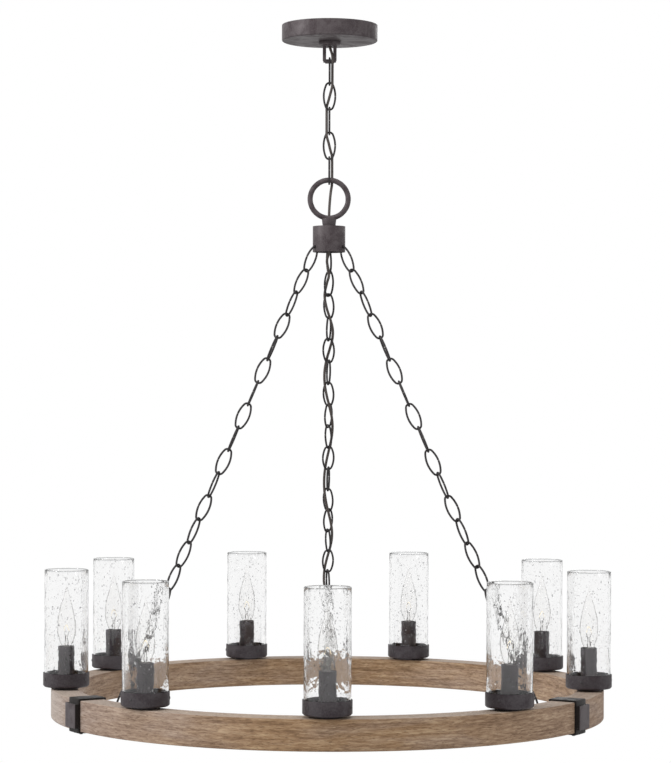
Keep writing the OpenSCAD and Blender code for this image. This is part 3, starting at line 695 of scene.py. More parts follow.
class ChandelierChain(PropertyGroup):
    """Sizes of the chain and of its cord"""

    wire: length("Wire", "Diameter of the chain wire", 3.3, 2.8, 3.6)
    coat: length("Coat", "What the finish adds to the diameter of the wire", 0.3, 0, 0.5)
    inner_length: length("Inner length", "Inside length of a link", 43.8, 40, 48)
    inner_width: length("Inner width", "Inside width of a link", 17, 16, 20)
    end_radius: length("End radius", "Radius of a link's end, to the middle of the wire",
                       6.8, 6.2, 7.6)
    play: length("Play", "Play between two links", 0.3, 0.2, 0.5)
    wheel_links: number("Links", "Links in each chain of the wheel", 20, 16, 24)
    cord: length("Cord", "Diameter of the supply cord", 4.8, 4, 5.2)


class ChandelierWheel(PropertyGroup):
    """Sizes of the wooden rim"""

    radius: length("Radius", "Outer radius of the rim", 482.6, 450, 530)
    width: length("Width", "Width of the rim from above", 44.5, 42, 50)
    edge: length("Edge", "Radius of the rim's worn edges", 1.5, 0.5, 3)
    wear: length("Wear", "Depth of the hand-worn unevenness", 0.35, 0, 1)
    steps: number("Steps", "Steps along each rail", 150, 40, 300)


class ChandelierLamp(PropertyGroup):
    """Sizes of the candle lamps"""

    circle: length("Circle", "Radius of the circle of lamps", LAMP_CIRCLE / MM, 450, 462.5)
    cup_radius: length("Cup radius", "Outer radius of a cup", 39.7, 39, 42)
    cup_height: length("Cup height", "Height of a cup", 24, 18, 32)
    cup_wall: length("Cup wall", "Wall of a cup", 1.2, 1, 1.4)
    cup_bevel: length("Cup bevel", "Bevel round the foot of a cup", 2.4, 1, 4)
    glass_radius: length("Glass radius", "Outer radius of a glass cylinder", 37.8, 36, 38.1)
    glass_wall: length("Glass wall", "Wall of a glass cylinder", 2.8, 2, 4)
    candle_radius: length("Candle radius", "Outer radius of a candle sleeve", 14, 12, 15)
    bulb_radius: length("Bulb radius", "Greatest radius of a bulb", 16, 14, 18)
    seeds: number("Seeds", "Air bubbles in each glass", 230, 0, 600)


class ChandelierFinish(PropertyGroup):
    """Colours of the chandelier"""

    wood: colour("Wood", "Main colour of the wood", srgb(150, 120, 90))
    wood_dark: colour("Wood, dark", "Dark grain of the wood", srgb(114, 87, 63))
    wood_light: colour("Wood, light", "Light grain of the wood", srgb(184, 156, 124))
    zinc: colour("Zinc", "Canopy, hub and rim joints", srgb(78, 71, 73))
    zinc_warm: colour("Zinc, worn", "Worn clouds on the zinc", srgb(55, 46, 49))
    cup: colour("Cups", "Cups and candle sleeves", srgb(62, 57, 60))
    cup_warm: colour("Cups, worn", "Worn clouds on the cups", srgb(46, 38, 42))
    chain: colour("Chain", "Chain wire", srgb(40, 37, 38))


SIZES = {"chandelier_chain": ChandelierChain, "chandelier_wheel": ChandelierWheel,
         "chandelier_lamp": ChandelierLamp, "chandelier_finish": ChandelierFinish}


# ---- Chain ----


def link_outline(chain, steps=9):
    """The middle of a link's wire as (across, along): two end arcs and two flatter side arcs."""
    half = (chain.inner_length + chain.wire) / 2
    side = (chain.inner_width + chain.wire) / 2
    end = half - chain.end_radius
    big = (end ** 2 + side ** 2 - chain.end_radius ** 2) / (2 * (side - chain.end_radius))
    turn = math.atan2(big - side, end)
    quarter = []
    for k in range(steps):
        a = (math.pi / 2 - turn) * k / steps
        quarter.append((side - big + big * math.cos(a), big * math.sin(a)))
    for k in range(steps + 1):
        a = math.pi / 2 - turn + turn * k / steps
        quarter.append((chain.end_radius * math.cos(a), end + chain.end_radius * math.sin(a)))
    half_loop = quarter + [(-x, z) for x, z in quarter[-2::-1]]
    return half_loop + [(x, -z) for x, z in half_loop[-2:0:-1]]


def link_template():
    """One link with the seam of its weld halfway down one side."""
    chain = bpy.context.scene.chandelier_chain
    outline = link_outline(chain)
    side, half_weld, nick = outline[0][0], 1.1 * MM, 0.86
    weld = [(side, half_weld * share) for share in (-1, -0.35, 0.35, 1)]
    path = [(x, 0, z) for x, z in weld + outline[1:]]
    thickness = [1, nick, nick, 1] + [1] * (len(path) - 4)
    marks = [0, 1, 1, 0] + [0] * (len(path) - 4)
    bm = bmesh.new()
    layer = bm.verts.layers.float.new("seam")
    tube(bm, path, (chain.wire + chain.coat) / 2, 10, True, thickness, layer, marks)
    return from_bmesh("link_template", bm, smooth=60)


def chain_tree():
    """Links hung in each other along a leaning line, with a slow sway in their turn."""
    tree = Grower("Wheel chain")
    link = tree.input("Link", "piece")
    count = tree.input("Links", "count")
    pitch = tree.input("Pitch", "length")
    out = tree.input("Hang radius", "length")
    high = tree.input("Hang height", "length")
    lean = tree.input("Lean", "angle")
    turn = tree.input("Turn", "angle")
    bow = tree.input("Bow", "angle")
    wave = tree.input("Wave", "angle")
    hand = tree.input("Hand", "angle")
    finish = tree.input("Finish", "finish")
    line = tree.node("GeometryNodeMeshLine", {"mode": "OFFSET"},
                     {"Count": count, "Start Location": tree.vector(0.0, 0.0, pitch * -0.5),
                      "Offset": tree.vector(0.0, 0.0, pitch * -1.0)})
    k = tree.index() + 1
    share = k / (count + 1)
    sway = bow * (share * math.pi).sin() + wave * (share * TURN).sin()
    even = 1 - k.math("MODULO", k, 2.0)
    twist = hand * (sway + even * (math.pi / 2))
    links = tree.copies(line, tree.shape_of(link), tree.vector(0.0, 0.0, twist))
    hung = tree.moved(links, tree.vector(out, 0.0, high), tree.vector(0.0, lean * -1.0, 0.0))
    placed = tree.moved(hung, None, tree.vector(0.0, 0.0, turn))
    tree.finish(placed, finish)
    return tree


# Where the chains leave the hub and meet the eyes, from the CAD
HANG_R = 27.35 * MM
HANG_Z = HUB_FOOT + 5.9 * MM
EYE_R = 409.6 * MM
EYE_Z = (RIM_TOP + RIM_FOOT) / 2
LEAN = math.atan2(EYE_R - HANG_R, HANG_Z - EYE_Z)
# How far a chain's links turn out of line: in one bow along the chain, and in one whole wave
SIDE_BOW, SIDE_WAVE = math.radians(-50), math.radians(-20)
BACK_BOW, BACK_WAVE = 0.0, math.radians(75)
WHEEL_CHAINS = (("wheel_chain_left", 0, SIDE_BOW, SIDE_WAVE, -1),
                ("wheel_chain_right", 1, SIDE_BOW, SIDE_WAVE, 1),
                ("wheel_chain_back", 2, BACK_BOW, BACK_WAVE, 1))
UPPER_LINKS = 5


def make_chains():
    chain = bpy.context.scene.chandelier_chain
    link = link_template()
    tree = chain_tree()
    for name, joint, bow, wave, hand in WHEEL_CHAINS:
        obj = tree.grow(name + "_links", {
            "Link": link, "Links": chain.wheel_links, "Pitch": chain.inner_length - chain.play,
            "Hang radius": HANG_R, "Hang height": HANG_Z, "Lean": LEAN, "Turn": JOINTS[joint],
            "Bow": bow, "Wave": wave, "Hand": float(hand), "Finish": look_of("chain")})
        settle_piece(obj, "fixture", "dark_metal", name)
    for k in range(1, UPPER_LINKS + 1):
        node = f"chain_link_{k}"
        foot, top = heights(node)
        mesh = link.data.copy()
        mesh.transform(Matrix.Translation((0, 0, (foot + top) / 2))
                       @ Matrix.Rotation(-math.pi / 2 if k % 2 else 0, 4, "Z"))
        mesh.materials.append(look_of("chain"))
        settle_piece(add_object(f"upper_link_{k}", mesh), f"link_{k}", "dark_metal", node)
    bpy.data.objects.remove(link)


# ---- Cords ----
# Routes in millimetres, as in the CAD

# From the canopy to the hub as x, y and z
POWER_ROUTE = [
    (0, 0, -2), (0, 0, -20), (0, 0, -36), (2, -3, -44), (4.6, -6, -53), (5, -6.6, -61), (5, -6.2, -70),
    (4.9, -5.2, -84), (4.9, -4.9, -100), (4.6, -4.8, -108), (1.5, -1.5, -120), (-1.5, 1.5, -131),
    (-4.7, 4.8, -142), (-4.9, 4.9, -150), (-4.9, 2, -162), (-4.9, -2, -174), (-4.9, -4.9, -186),
    (-4.7, -4.8, -195), (-1.5, -1.5, -206), (1.5, 1.5, -218), (4.7, 4.8, -229), (4.9, 5.2, -237),
    (5, 6.5, -250), (5, 8, -262), (4.9, 8.2, -272), (4.6, 7.4, -281), (3, 4, -291), (1.6, 1.4, -304),
    (0.6, 0.4, -318), (0, 0, -332), (0, 0, -345), (0, 0, -371.2)]
# From the join in the hub: towards the back, sideways and up
HUB_ROUTE = [(0, 0, 0), (0, 0, -8), (3, 0, -20), (6, -1, -31), (19, -3.5, -42)]
# Along the back chain before and after the winding: links from the hub, across and sideways
INTO_CHAIN = [(1, -11, 0), (1.5, 3, 3.5)]
OUT_OF_CHAIN = [(17.9, 5, -10)]
# Into the bush: outwards, sideways and up
BUSH_ROUTE = [(-30, 3, 44), (-26, 5, 30), (-18, 3.5, 15), (-9, 0.6, 4), (0, 0, 0), (20, 0, 0)]
JOIN_Z = HUB_TOP - 18.3 * MM
BUSH_R = 431.9 * MM
BUSH_Z = EYE_Z - 6 * MM
BUSH_SIDE = -13 * MM
# The winding round the back chain: its radius, the links it goes past, and its turn
WIND_R = 7.6 * MM
WIND_FIRST, WIND_LAST = 2, 17
WIND_START, WIND_PER_LINK = 225, 90
# The canopy's loop: the height of its hinge, and how far down the first link sits in it
TOP_PIVOT, LOOP_SEAT = -62.4 * MM, 59.4 * MM
HINGE_HALF = 0.012  # half of a stretch round each hinge


def feed_route(chain):
    """Out of the hub, round the back chain link by link, and into the bush in the rim."""
    pitch = chain.inner_length - chain.play
    wound = []
    for k in (i / 2 for i in range(2 * WIND_FIRST, 2 * WIND_LAST + 1)):
        sway = BACK_WAVE * math.sin(TURN * (k + 0.5) / (chain.wheel_links + 1))
        a = sway + math.radians(WIND_START + WIND_PER_LINK * k)
        wound.append((k, WIND_R * math.cos(a) / MM, WIND_R * math.sin(a) / MM))
    route = [(q[1] * MM, q[0] * MM, JOIN_Z + q[2] * MM) for q in HUB_ROUTE]
    for k, across, side in INTO_CHAIN + wound + OUT_OF_CHAIN:
        s, across, side = k * pitch, across * MM, side * MM
        route.append((-side, HANG_R + s * math.sin(LEAN) + across * math.cos(LEAN),
                      HANG_Z - s * math.cos(LEAN) + across * math.sin(LEAN)))
    return route + [(q[1] * MM - BUSH_SIDE, q[0] * MM + BUSH_R, q[2] * MM + BUSH_Z)
                    for q in BUSH_ROUTE]


def declare_cord(path):
    """Sums the length of a cord's path; the sum is not kept."""
    sum((b - a).length for a, b in zip(path, path[1:]))


def make_feed_cord(chain):
    bm = bmesh.new()
    path = along_curve(feed_route(chain), chain.cord * 0.9)
    tube(bm, path, chain.cord / 2, 12)
    feed = add_piece("feed_cord_sheath", bm, "cord", 50, "fixture", "cord", "feed_cord")
    declare_cord(path)


def make_power_cord(chain):
    """The cord in the upper chain: a piece across each hinge, cut halfway between hinges."""
    path = along_curve([tuple(c * MM for c in p) for p in POWER_ROUTE], chain.cord * 0.8)
    pitch = chain.inner_length - chain.play
    pivots = [TOP_PIVOT] + [-LOOP_SEAT - k * pitch - chain.wire / 2 for k in range(1, UPPER_LINKS + 1)]
    bodies = ["ceiling_plate"] + [f"link_{k}" for k in range(1, UPPER_LINKS + 1)] + ["fixture"]
    cuts = [math.inf] + [(a + b) / 2 for a, b in zip(pivots, pivots[1:])] + [-math.inf]
    for i, pivot in enumerate(pivots):
        inside = [j for j, p in enumerate(path) if cuts[i + 1] <= p.z <= cuts[i]]
        part = path[max(inside[0] - 1, 0):inside[-1] + 2]
        bm = bmesh.new()
        tube(bm, part, chain.cord / 2, 12)
        obj = from_bmesh(f"power_cord_{i + 1}", bm, look_of("cord"), 50)
        bodies[i + 1]
        pivot + HINGE_HALF
        pivot - HINGE_HALF
        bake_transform(obj)
        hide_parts("power_cord")
        declare_cord(part)


def make_cords():
    chain = bpy.context.scene.chandelier_chain
    make_feed_cord(chain)
    make_power_cord(chain)


# ---- Ceiling plate and hub ----


def make_canopy():
    low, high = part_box("canopy")
    r, foot, top, wall = (high[0] - low[0]) / 2, low[2], high[2], 1.2 * MM
    hole, eased, bend = 12.65 * MM, 0.4 * MM, 2 * MM
    outline = soften([(hole, foot), (r, foot), (r, top), (r - wall, top), (r - wall, foot + wall),
                      (hole, foot + wall)], eased, 3)
    # The pan's lower edge is pressed to a wider bend than its other edges
    corner = [p for p in outline if p[0] > r - 2 * eased and p[1] < foot + 2 * eased]
    start = outline.index(corner[0])
    for p in corner:
        outline.remove(p)
    outline[start:start] = [(r - bend + bend * math.cos(a), foot + bend + bend * math.sin(a))
                            for a in (math.radians(-90 + 15 * k) for k in range(7))]
    bm = bmesh.new()
    lathe(bm, outline, 128)
    add_piece("canopy_pan", bm, "zinc", 50, "ceiling_plate", "zinc", "canopy")
    add_eased("loop_collar", "loop_collar_cast", "zinc", 0.6 * MM, "ceiling_plate", "zinc")
    add_eased("canopy_loop", "canopy_loop_cast", "zinc", 0.7 * MM, "ceiling_plate", "zinc")
    add_eased("crossbar", "crossbar_plate", "hardware", 0.2 * MM, "ceiling_plate", "dark_metal")
    dress("brass", "ceiling_nipple", "ceiling_locknut")


def cast_ring(bm, ring, bar, height):
    """An upright ring of round bar with the small dents of a rough casting."""
    steps, sides = 96, 20
    dents_per_metre, deep, sunk = 130, 0.16, 0.1
    rings = []
    for i in range(steps):
        a = TURN * i / steps
        middle = Vector((ring * math.cos(a), 0, height + ring * math.sin(a)))
        out = Vector((math.cos(a), 0, math.sin(a)))
        row = []
        for k in range(sides):
            b = TURN * k / sides
            p = middle + (out * math.cos(b) + Vector((0, 1, 0)) * math.sin(b)) * bar
            dent = noise.fractal(p * dents_per_metre, 0.9, 2.1, 4) * deep * MM - sunk * MM
            row.append(bm.verts.new(p + (p - middle).normalized() * dent))
        rings.append(row)
    for a, b in zip(rings, rings[1:] + rings[:1]):
        for k in range(sides):
            bm.faces.new([a[k], b[k], b[(k + 1) % sides], a[(k + 1) % sides]])


def make_hub():
    low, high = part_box("hub_loop")
    foot, bar = low[2], 4.8 * MM
    ring = (high[0] - low[0]) / 2 - bar
    bore, lip, boss_r, boss_top = 5.0 * MM, 11.3 * MM, 13 * MM, foot + 14 * MM
    bm = bmesh.new()
    cast_ring(bm, ring, bar, high[2] - ring - bar)
    lathe(bm, soften([(bore, foot), (lip, foot), (boss_r, boss_top), (bore, boss_top)], 1.0 * MM), 64)
    add_piece("hub_ring_cast", bm, "zinc", 50, "fixture", "zinc", "hub_loop")
    add_eased("hub", "hub_cup", "zinc", 0.35 * MM, "fixture", "zinc")
    dress("brass", "hub_nipple", "hub_locknut")


# ---- Wheel ----


def rail_tree():
    """A rail: the profile swept along an arc, with its surface slightly worn."""
    tree = Grower("Rail")
    profile = tree.input("Profile", "piece")
    radius = tree.input("Radius", "length")
    start = tree.input("Start", "angle")
    sweep = tree.input("Sweep", "angle")
    steps = tree.input("Steps", "count")
    wear = tree.input("Wear", "length")
    finish = tree.input("Finish", "finish")
    arc = tree.node("GeometryNodeCurveArc", {"mode": "RADIUS"},
                    {"Resolution": steps, "Radius": radius, "Start Angle": start, "Sweep Angle": sweep})
    upright = tree.node("GeometryNodeSetCurveNormal", {"mode": "Z_UP"}, [arc])
    outline = tree.node("GeometryNodeMeshToCurve", None, [tree.shape_of(profile)])
    rail = tree.node("GeometryNodeCurveToMesh", None,
                     {"Curve": upright, "Profile Curve": outline, "Fill Caps": True})
    place = tree.node("GeometryNodeInputPosition")
    bumps = tree.node("ShaderNodeTexNoise", None, {"Vector": place, "Scale": 24.0, "Detail": 3.0})
    normal = tree.node("GeometryNodeInputNormal")
    # Nearly all bumps are lower than this, so the surface is worn inwards
    highest = 0.72
    shift = tree.node("ShaderNodeVectorMath", {"operation": "SCALE"},
                      {"Vector": normal, "Scale": wear * (bumps - highest)})
    worn = tree.node("GeometryNodeSetPosition", None, {"Geometry": rail, "Offset": shift})
    tree.finish(worn, finish)
    return tree


def rail_profile(wheel):
    """Outline of the rim's section, with the step that holds the wireway's strip.

    A swept profile stands on its head, so it is drawn that way.
    """
    half, tall = wheel.width / 2, (RIM_TOP - RIM_FOOT) / 2
    middle = LAMP_CIRCLE - wheel.radius + half
    strip, deep, longest = 14 * MM, 3 * MM, 5 * MM
    corners = [(-half, tall), (-half, -tall), (middle - strip, -tall), (middle - strip, -tall + deep),
               (middle + strip, -tall + deep), (middle + strip, -tall), (half, -tall), (half, tall)]
    points = [Vector(p) for p in soften(corners, wheel.edge, 3)]
    fine = []
    for a, b in zip(points, points[1:] + points[:1]):
        parts = max(1, round((b - a).length / longest))
        fine += [a.lerp(b, k / parts) for k in range(parts)]
    edges = [(i, (i + 1) % len(fine)) for i in range(len(fine))]
    mesh = bpy.data.meshes.new("rail_profile")
    mesh.from_pydata([(x, -y, 0) for x, y in fine], edges, [])
    return add_object("rail_profile", mesh)


def make_wheel():
    wheel = bpy.context.scene.chandelier_wheel
    profile = rail_profile(wheel)
    tree = rail_tree()
    for i in range(3):
        name = f"rail_{i + 1}_wood"
        swept = tree.grow(name, {
            "Profile": profile, "Radius": wheel.radius - wheel.width / 2, "Start": JOINTS[i],
            "Sweep": TURN / 3, "Steps": wheel.steps, "Wear": wheel.wear, "Finish": look_of("wood")})
        bm = bmesh.new()
        bm.from_mesh(swept.data)
        bm.transform(Matrix.Translation((0, 0, (RIM_TOP + RIM_FOOT) / 2)))
        bpy.data.objects.remove(swept)
        add_piece(name, bm, "wood", 40, "fixture", "wood", f"wood_rail_{i + 1}")
    bpy.data.objects.remove(profile)
    dress("wood", "wireway_strips")
    for node in ("rail_joint_1", "rail_joint_2", "rail_joint_3"):
        add_eased(node, node + "_sleeve", "joint", 0.4 * MM, "fixture", "zinc")
    add_eased("chain_eyes", "chain_eye_bolts", "chain", 0.3 * MM, "fixture", "dark_metal")
    dress("hardware", "eye_nuts", "strip_screws", "cord_bush")
    dress("wire", "ring_harness")


# ---- Lamps ----


def ring_tree():
    """Copies of a piece on a circle, each turned to face outwards."""
    tree = Grower("Ring of lamps")
    piece = tree.input("Piece", "piece")
    count = tree.input("Lamps", "count")
    radius = tree.input("Circle", "length")
    first = tree.input("First", "angle")
    finish = tree.input("Finish", "finish")
    line = tree.node("GeometryNodeMeshLine", None, {"Count": count})
    turn = first + tree.index() * (TURN / count)
    spread = tree.node("GeometryNodeSetPosition", None, {
        "Geometry": line, "Position": tree.vector(radius * turn.cos(), radius * turn.sin(), 0.0)})
    tree.finish(tree.copies(spread, tree.shape_of(piece), tree.vector(0.0, 0.0, turn)), finish)
    return tree


def screw_tree():
    """Set screws round each cup: the cups are points that know their own turn."""
    tree = Grower("Set screws")
    screw = tree.input("Screw", "piece")
    count = tree.input("Screws per cup", "count")
    radius = tree.input("Cup radius", "length")
    finish = tree.input("Finish", "finish")
    own = tree.node("GeometryNodeInputNamedAttribute", {"data_type": "FLOAT"}, ["turn"])
    points = tree.node("GeometryNodeDuplicateElements", {"domain": "POINT"},
                       {"Geometry": tree.base(), "Amount": count})
    copy_number = Val(tree, points.socket.node.outputs[1])
    turn = own + copy_number * (TURN / count)
    spread = tree.shifted(points, radius * turn.cos(), radius * turn.sin(), 0.0)
    tree.finish(tree.copies(spread, tree.shape_of(screw), tree.vector(0.0, 0.0, turn)), finish)
    return tree


def make_cups():
    lamp = bpy.context.scene.chandelier_lamp
    r, wall, bevel, foot = lamp.cup_radius, lamp.cup_wall, lamp.cup_bevel, CUP_FOOT
    top, bore = foot + lamp.cup_height, 4.9 * MM
    inner = r - wall
    start = inner - bevel + wall / 2
    bm = bmesh.new()
    lathe(bm, soften([(bore, foot), (r - bevel, foot), (r, foot + bevel), (r, top), (inner, top),
                      (inner, foot + wall + inner - start), (start, foot + wall), (bore, foot + wall)],
                     0.45 * MM, 3), 72)
    cup = from_bmesh("cup_template", bm, None, 40)
    r = lamp.candle_radius
    bm = bmesh.new()
    lathe(bm, soften([(r - wall, CANDLE_FOOT), (r, CANDLE_FOOT), (r, CANDLE_TOP), (r - wall, CANDLE_TOP)],
                     0.35 * MM, 2), 48)
    candle = from_bmesh("candle_template", bm, None, 40)
    tree = ring_tree()
    for piece, name, node in ((cup, "cups", "lamp_cups"), (candle, "candles", "candle_sleeves")):
        obj = tree.grow(name, {"Piece": piece, "Lamps": LAMPS, "Circle": lamp.circle, "First": FRONT,
                               "Finish": look_of("cup")})
        settle_piece(obj, "fixture", "dark_metal", node)
        bpy.data.objects.remove(piece)
    dress("cup", "cup_spacers")
    dress("porcelain", "lamp_sockets")
    dress("brass", "lamp_nipples", "lamp_nuts")


def slotted_head(bm, radius, height, slot):
    """A domed screw head along +X with a slot across it; slot is half its width."""
    steps, rows = 24, 5
    profile = [(radius, 0.0)]
    for a in (math.pi / 2 * k / (rows - 1) for k in range(rows)):
        profile.append((radius * math.cos(a * 0.86), height * (0.45 + 0.55 * math.sin(a))))
    rings = []
    for r, h in profile:
        ring = []
        for a in (TURN * i / steps for i in range(steps)):
            y, z = r * math.cos(a), r * math.sin(a)
            deep = 0.45 * height if abs(z) < slot and h > height * 0.5 else 0
            ring.append(bm.verts.new((h - deep, y, z)))
        rings.append(ring)
    join_rings(bm, rings)


def shank(bm, radius, depth):
    """The screw's round end, which goes in by this depth."""
    steps = 16
    join_rings(bm, [[bm.verts.new((x, radius * math.cos(TURN * i / steps),
                                   radius * math.sin(TURN * i / steps))) for i in range(steps)]
                    for x in (-depth, 0.0)])


def join_rings(bm, rings):
    """Skins a row of rings and closes both ends."""
    steps = len(rings[0])
    for a, b in zip(rings, rings[1:]):
        for i in range(steps):
            bm.faces.new([a[i], a[(i + 1) % steps], b[(i + 1) % steps], b[i]])
    bm.faces.new(rings[-1])
    bm.faces.new(rings[0][::-1])


SCREW_TURNS = (-50, 90, -25, 15, 70, 35, -80, 60, -32)  # each cup's first screw, in degrees


def make_screws():
    lamp = bpy.context.scene.chandelier_lamp
    bm = bmesh.new()
    slotted_head(bm, 2.3 * MM, 1.0 * MM, 0.45 * MM)
    shank(bm, 1.5 * MM, 2.2 * MM)
    screw = from_bmesh("screw_template", bm, None, 35)
    cups = bpy.data.meshes.new("cup_points")
    foot, top = heights("set_screws")
    cups.from_pydata([lamp_centre(i) + ((foot + top) / 2,) for i in range(LAMPS)], [], [])
    turns = cups.attributes.new("turn", "FLOAT", "POINT")
    for point, turn in zip(turns.data, SCREW_TURNS):
        point.value = FRONT + math.radians(turn)
    obj = screw_tree().grow("cup_screws", {"Screw": screw, "Screws per cup": 3,
                                           "Cup radius": lamp.cup_radius,
                                           "Finish": look_of("hardware")}, cups)
    settle_piece(obj, "fixture", "dark_metal", "set_screws")
    bpy.data.objects.remove(screw)
    dress("hardware", "joint_screws")


def seed_tree():
    """Air bubbles scattered in the wall of a glass, each a few faces."""
    tree = Grower("Seeds")
    count = tree.input("Seeds", "count")
    radius = tree.input("Radius", "length")
    foot = tree.input("Foot", "length")
    top = tree.input("Top", "length")
    x = tree.input("X", "length")
    y = tree.input("Y", "length")
    pick = tree.input("Pick", "count")
    finish = tree.input("Finish", "finish")

    def chance(low, high, salt):
        return tree.node("FunctionNodeRandomValue", {"data_type": "FLOAT"},
                         {2: low, 3: high, "ID": tree.index(), "Seed": pick * 7 + salt}, out=1)

    line = tree.node("GeometryNodeMeshLine", None, {"Count": count})
    turn = chance(0.0, TURN, 1)
    place = tree.vector(x + radius * turn.cos(), y + radius * turn.sin(), chance(foot, top, 2))
    spread = tree.node("GeometryNodeSetPosition", None, {"Geometry": line, "Position": place})
    bead = tree.node("GeometryNodeMeshIcoSphere", None, {"Radius": 1.0, "Subdivisions": 1})
    # Most bubbles are small; a few are three times as wide
    size = (chance(0.0, 1.0, 3) ** 3) * 0.00075 + 0.00038
    grown = tree.copies(spread, bead, tree.vector(0.0, 0.0, turn),
                        tree.vector(size * 0.8, size, size * chance(1.0, 2.1, 4)))
    tree.finish(grown, finish)
    return tree


def make_glass():
    lamp = bpy.context.scene.chandelier_lamp
    r, wall = lamp.glass_radius, lamp.glass_wall
    # Several rows up the wall, because smooth shading over one long row would bend what is behind it
    rows = 12
    levels = [GLASS_FOOT + (GLASS_TOP - GLASS_FOOT) * k / rows for k in range(rows + 1)]
    outline = soften([(r, z) for z in levels] + [(r - wall, z) for z in levels[::-1]], wall * 0.45, 4)
    clear_of_rims = 0.004
    tree = seed_tree()
    for i in range(LAMPS):
        x, y = lamp_centre(i)
        bm = bmesh.new()
        lathe(bm, outline, 80, (x, y))
        skin = bm.verts.layers.float.new("skin")
        for vert in bm.verts:
            vert[skin] = float(math.hypot(vert.co.x - x, vert.co.y - y) > r - wall / 2)
        add_piece(f"glass_{i + 1}_wall", bm, "glass", 60, f"glass_{i + 1}", "seeded_glass",
                  f"glass_shade_{i + 1}")
        seeds = tree.grow(f"glass_{i + 1}_seeds", {
            "Seeds": lamp.seeds, "Radius": r - wall / 2, "Foot": GLASS_FOOT + clear_of_rims,
            "Top": GLASS_TOP - clear_of_rims, "X": x, "Y": y, "Pick": i, "Finish": look_of("seed")})
        for face in seeds.data.polygons:
            face.use_smooth = True
        settle_piece(seeds, f"glass_{i + 1}", "seeded_glass")


# Inside a bulb, in millimetres: radius or distance from the axis, and height over the shoulder
STEM = [(0, 0.5), (4.6, 0.5), (2.6, 9), (1.6, 16), (2.4, 18), (0, 20)]
LEAD = [(1.2, 1), (2.4, 8), (1.3, 14), (2.2, 20), (4.6, 27)]
COIL_TURNS, COIL_HALF, COIL_FOOT, COIL_RISE, COIL_R = 14, 4.6, 27, 11, 0.55 * MM


def flame_outline(lamp, foot, tip):
    """Half of a flame-tip bulb from its neck to its tip."""
    neck, belly, end = 7.5 * MM, lamp.bulb_radius, 0.7 * MM
    steps, widest = 28, 0.30
    rows = []
    for h in (k / steps for k in range(steps + 1)):
        if h < widest:
            r = neck + (belly - neck) * math.sin(math.pi / 2 * h / widest)
        else:
            fall = max(math.cos(math.pi / 2 * (h - widest) / (1 - widest)), 0)
            r = end + (belly - end) * fall ** 1.45
        rows.append((r, foot + h * (tip - foot)))
    return [(0.0, foot)] + rows + [(0.0, tip)]


def base_outline(shoulder):
    """Half of a lamp's base: its tip, its thread as rounded rings, and its collar."""
    crest, root, pitch = 6.0 * MM, 5.3 * MM, 1.8 * MM
    rows = [(0.0, BULB_FOOT), (2.5 * MM, BULB_FOOT), (3.5 * MM, BULB_FOOT + 1.5 * MM)]
    z = BULB_FOOT + 3 * MM
    while z < shoulder - 3 * MM:
        rows += [(root, z), (crest, z + pitch / 2), (root, z + pitch)]
        z += pitch
    under = shoulder - 0.2 * MM
    return rows + [(crest, shoulder - 1 * MM), (crest, under), (0.0, under)]


def filament_path(x, y, shoulder):
    """A coil in an arch between the leads, four points a turn."""
    path = []
    for t in (k / (4 * COIL_TURNS) for k in range(4 * COIL_TURNS + 1)):
        turn = TURN * t * COIL_TURNS
        along, up = -COIL_HALF + 2 * COIL_HALF * t, COIL_FOOT + COIL_RISE * math.sin(math.pi * t)
        path.append((x + along * MM, y + COIL_R * math.cos(turn),
                     shoulder + up * MM + COIL_R * math.sin(turn)))
    return path


def make_bulbs():
    lamp = bpy.context.scene.chandelier_lamp
    shoulder = CANDLE_TOP - 1.7 * MM
    for i in range(LAMPS):
        x, y = lamp_centre(i)
        name, body = f"bulb_{i + 1}", f"lamp_{i + 1}"
        bm = bmesh.new()
        lathe(bm, flame_outline(lamp, shoulder, BULB_TIP), 40, (x, y), False)
        add_piece(name + "_flame", bm, "bulb", 60, body, "bulb_glass", name)
        bm = bmesh.new()
        lathe(bm, base_outline(shoulder), 24, (x, y), False)
        add_piece(name + "_base", bm, "brass", 30, body, "brass")
        bm = bmesh.new()
        lathe(bm, [(r * MM, shoulder + z * MM) for r, z in STEM], 16, (x, y), False)
        add_piece(name + "_stem", bm, "bulb", 50, body, "bulb_glass")
        bm = bmesh.new()
        for side in (-1, 1):
            lead = [(x + side * out * MM, y + 0.4 * out * MM, shoulder + z * MM) for out, z in LEAD]
            tube(bm, along_curve(lead, 2 * MM), 0.42 * MM, 6)
        add_piece(name + "_leads", bm, "hardware", 60, body, "bulb_glass")
        bm = bmesh.new()
        tube(bm, filament_path(x, y, shoulder), 0.3 * MM, 6)
        add_piece(name + "_filament", bm, "filament", 60, body, "bulb_glass")


# ---- Stage ----

# The photograph's frame, and the lens and the centre that fit it, in pixels
PHOTO_WIDTH, PHOTO_HEIGHT = 671, 763
FOCAL, CENTRE_X, CENTRE_Y = 2447, 328.45, 404.85
SENSOR = 36  # the camera's own width of film, in millimetres
CAMERA_PLACE = (0, -4.3, -0.6667)
CAMERA_ROLL = math.radians(-0.2)
FLOOR_R, FLOOR_TOP, FLOOR_FOOT = 5.6, -2.4, -2.41
AMBIENT = 0.46
# Name, place, aim, watts, width
STUDIO_LAMPS = (("key", (-3.9, -1.5, 0.9), (0, 0, -0.8), 108, 1.6),
                ("fill", (3.4, -2.6, 0.0), (0, 0, -0.8), 30, 2.0),
                ("rear", (1.2, 3.6, 0.8), (0, 0, -0.9), 28, 2.2),
                ("top", (-0.2, -1.4, 1.9), (0, 0, -1.2), 34, 2.0))


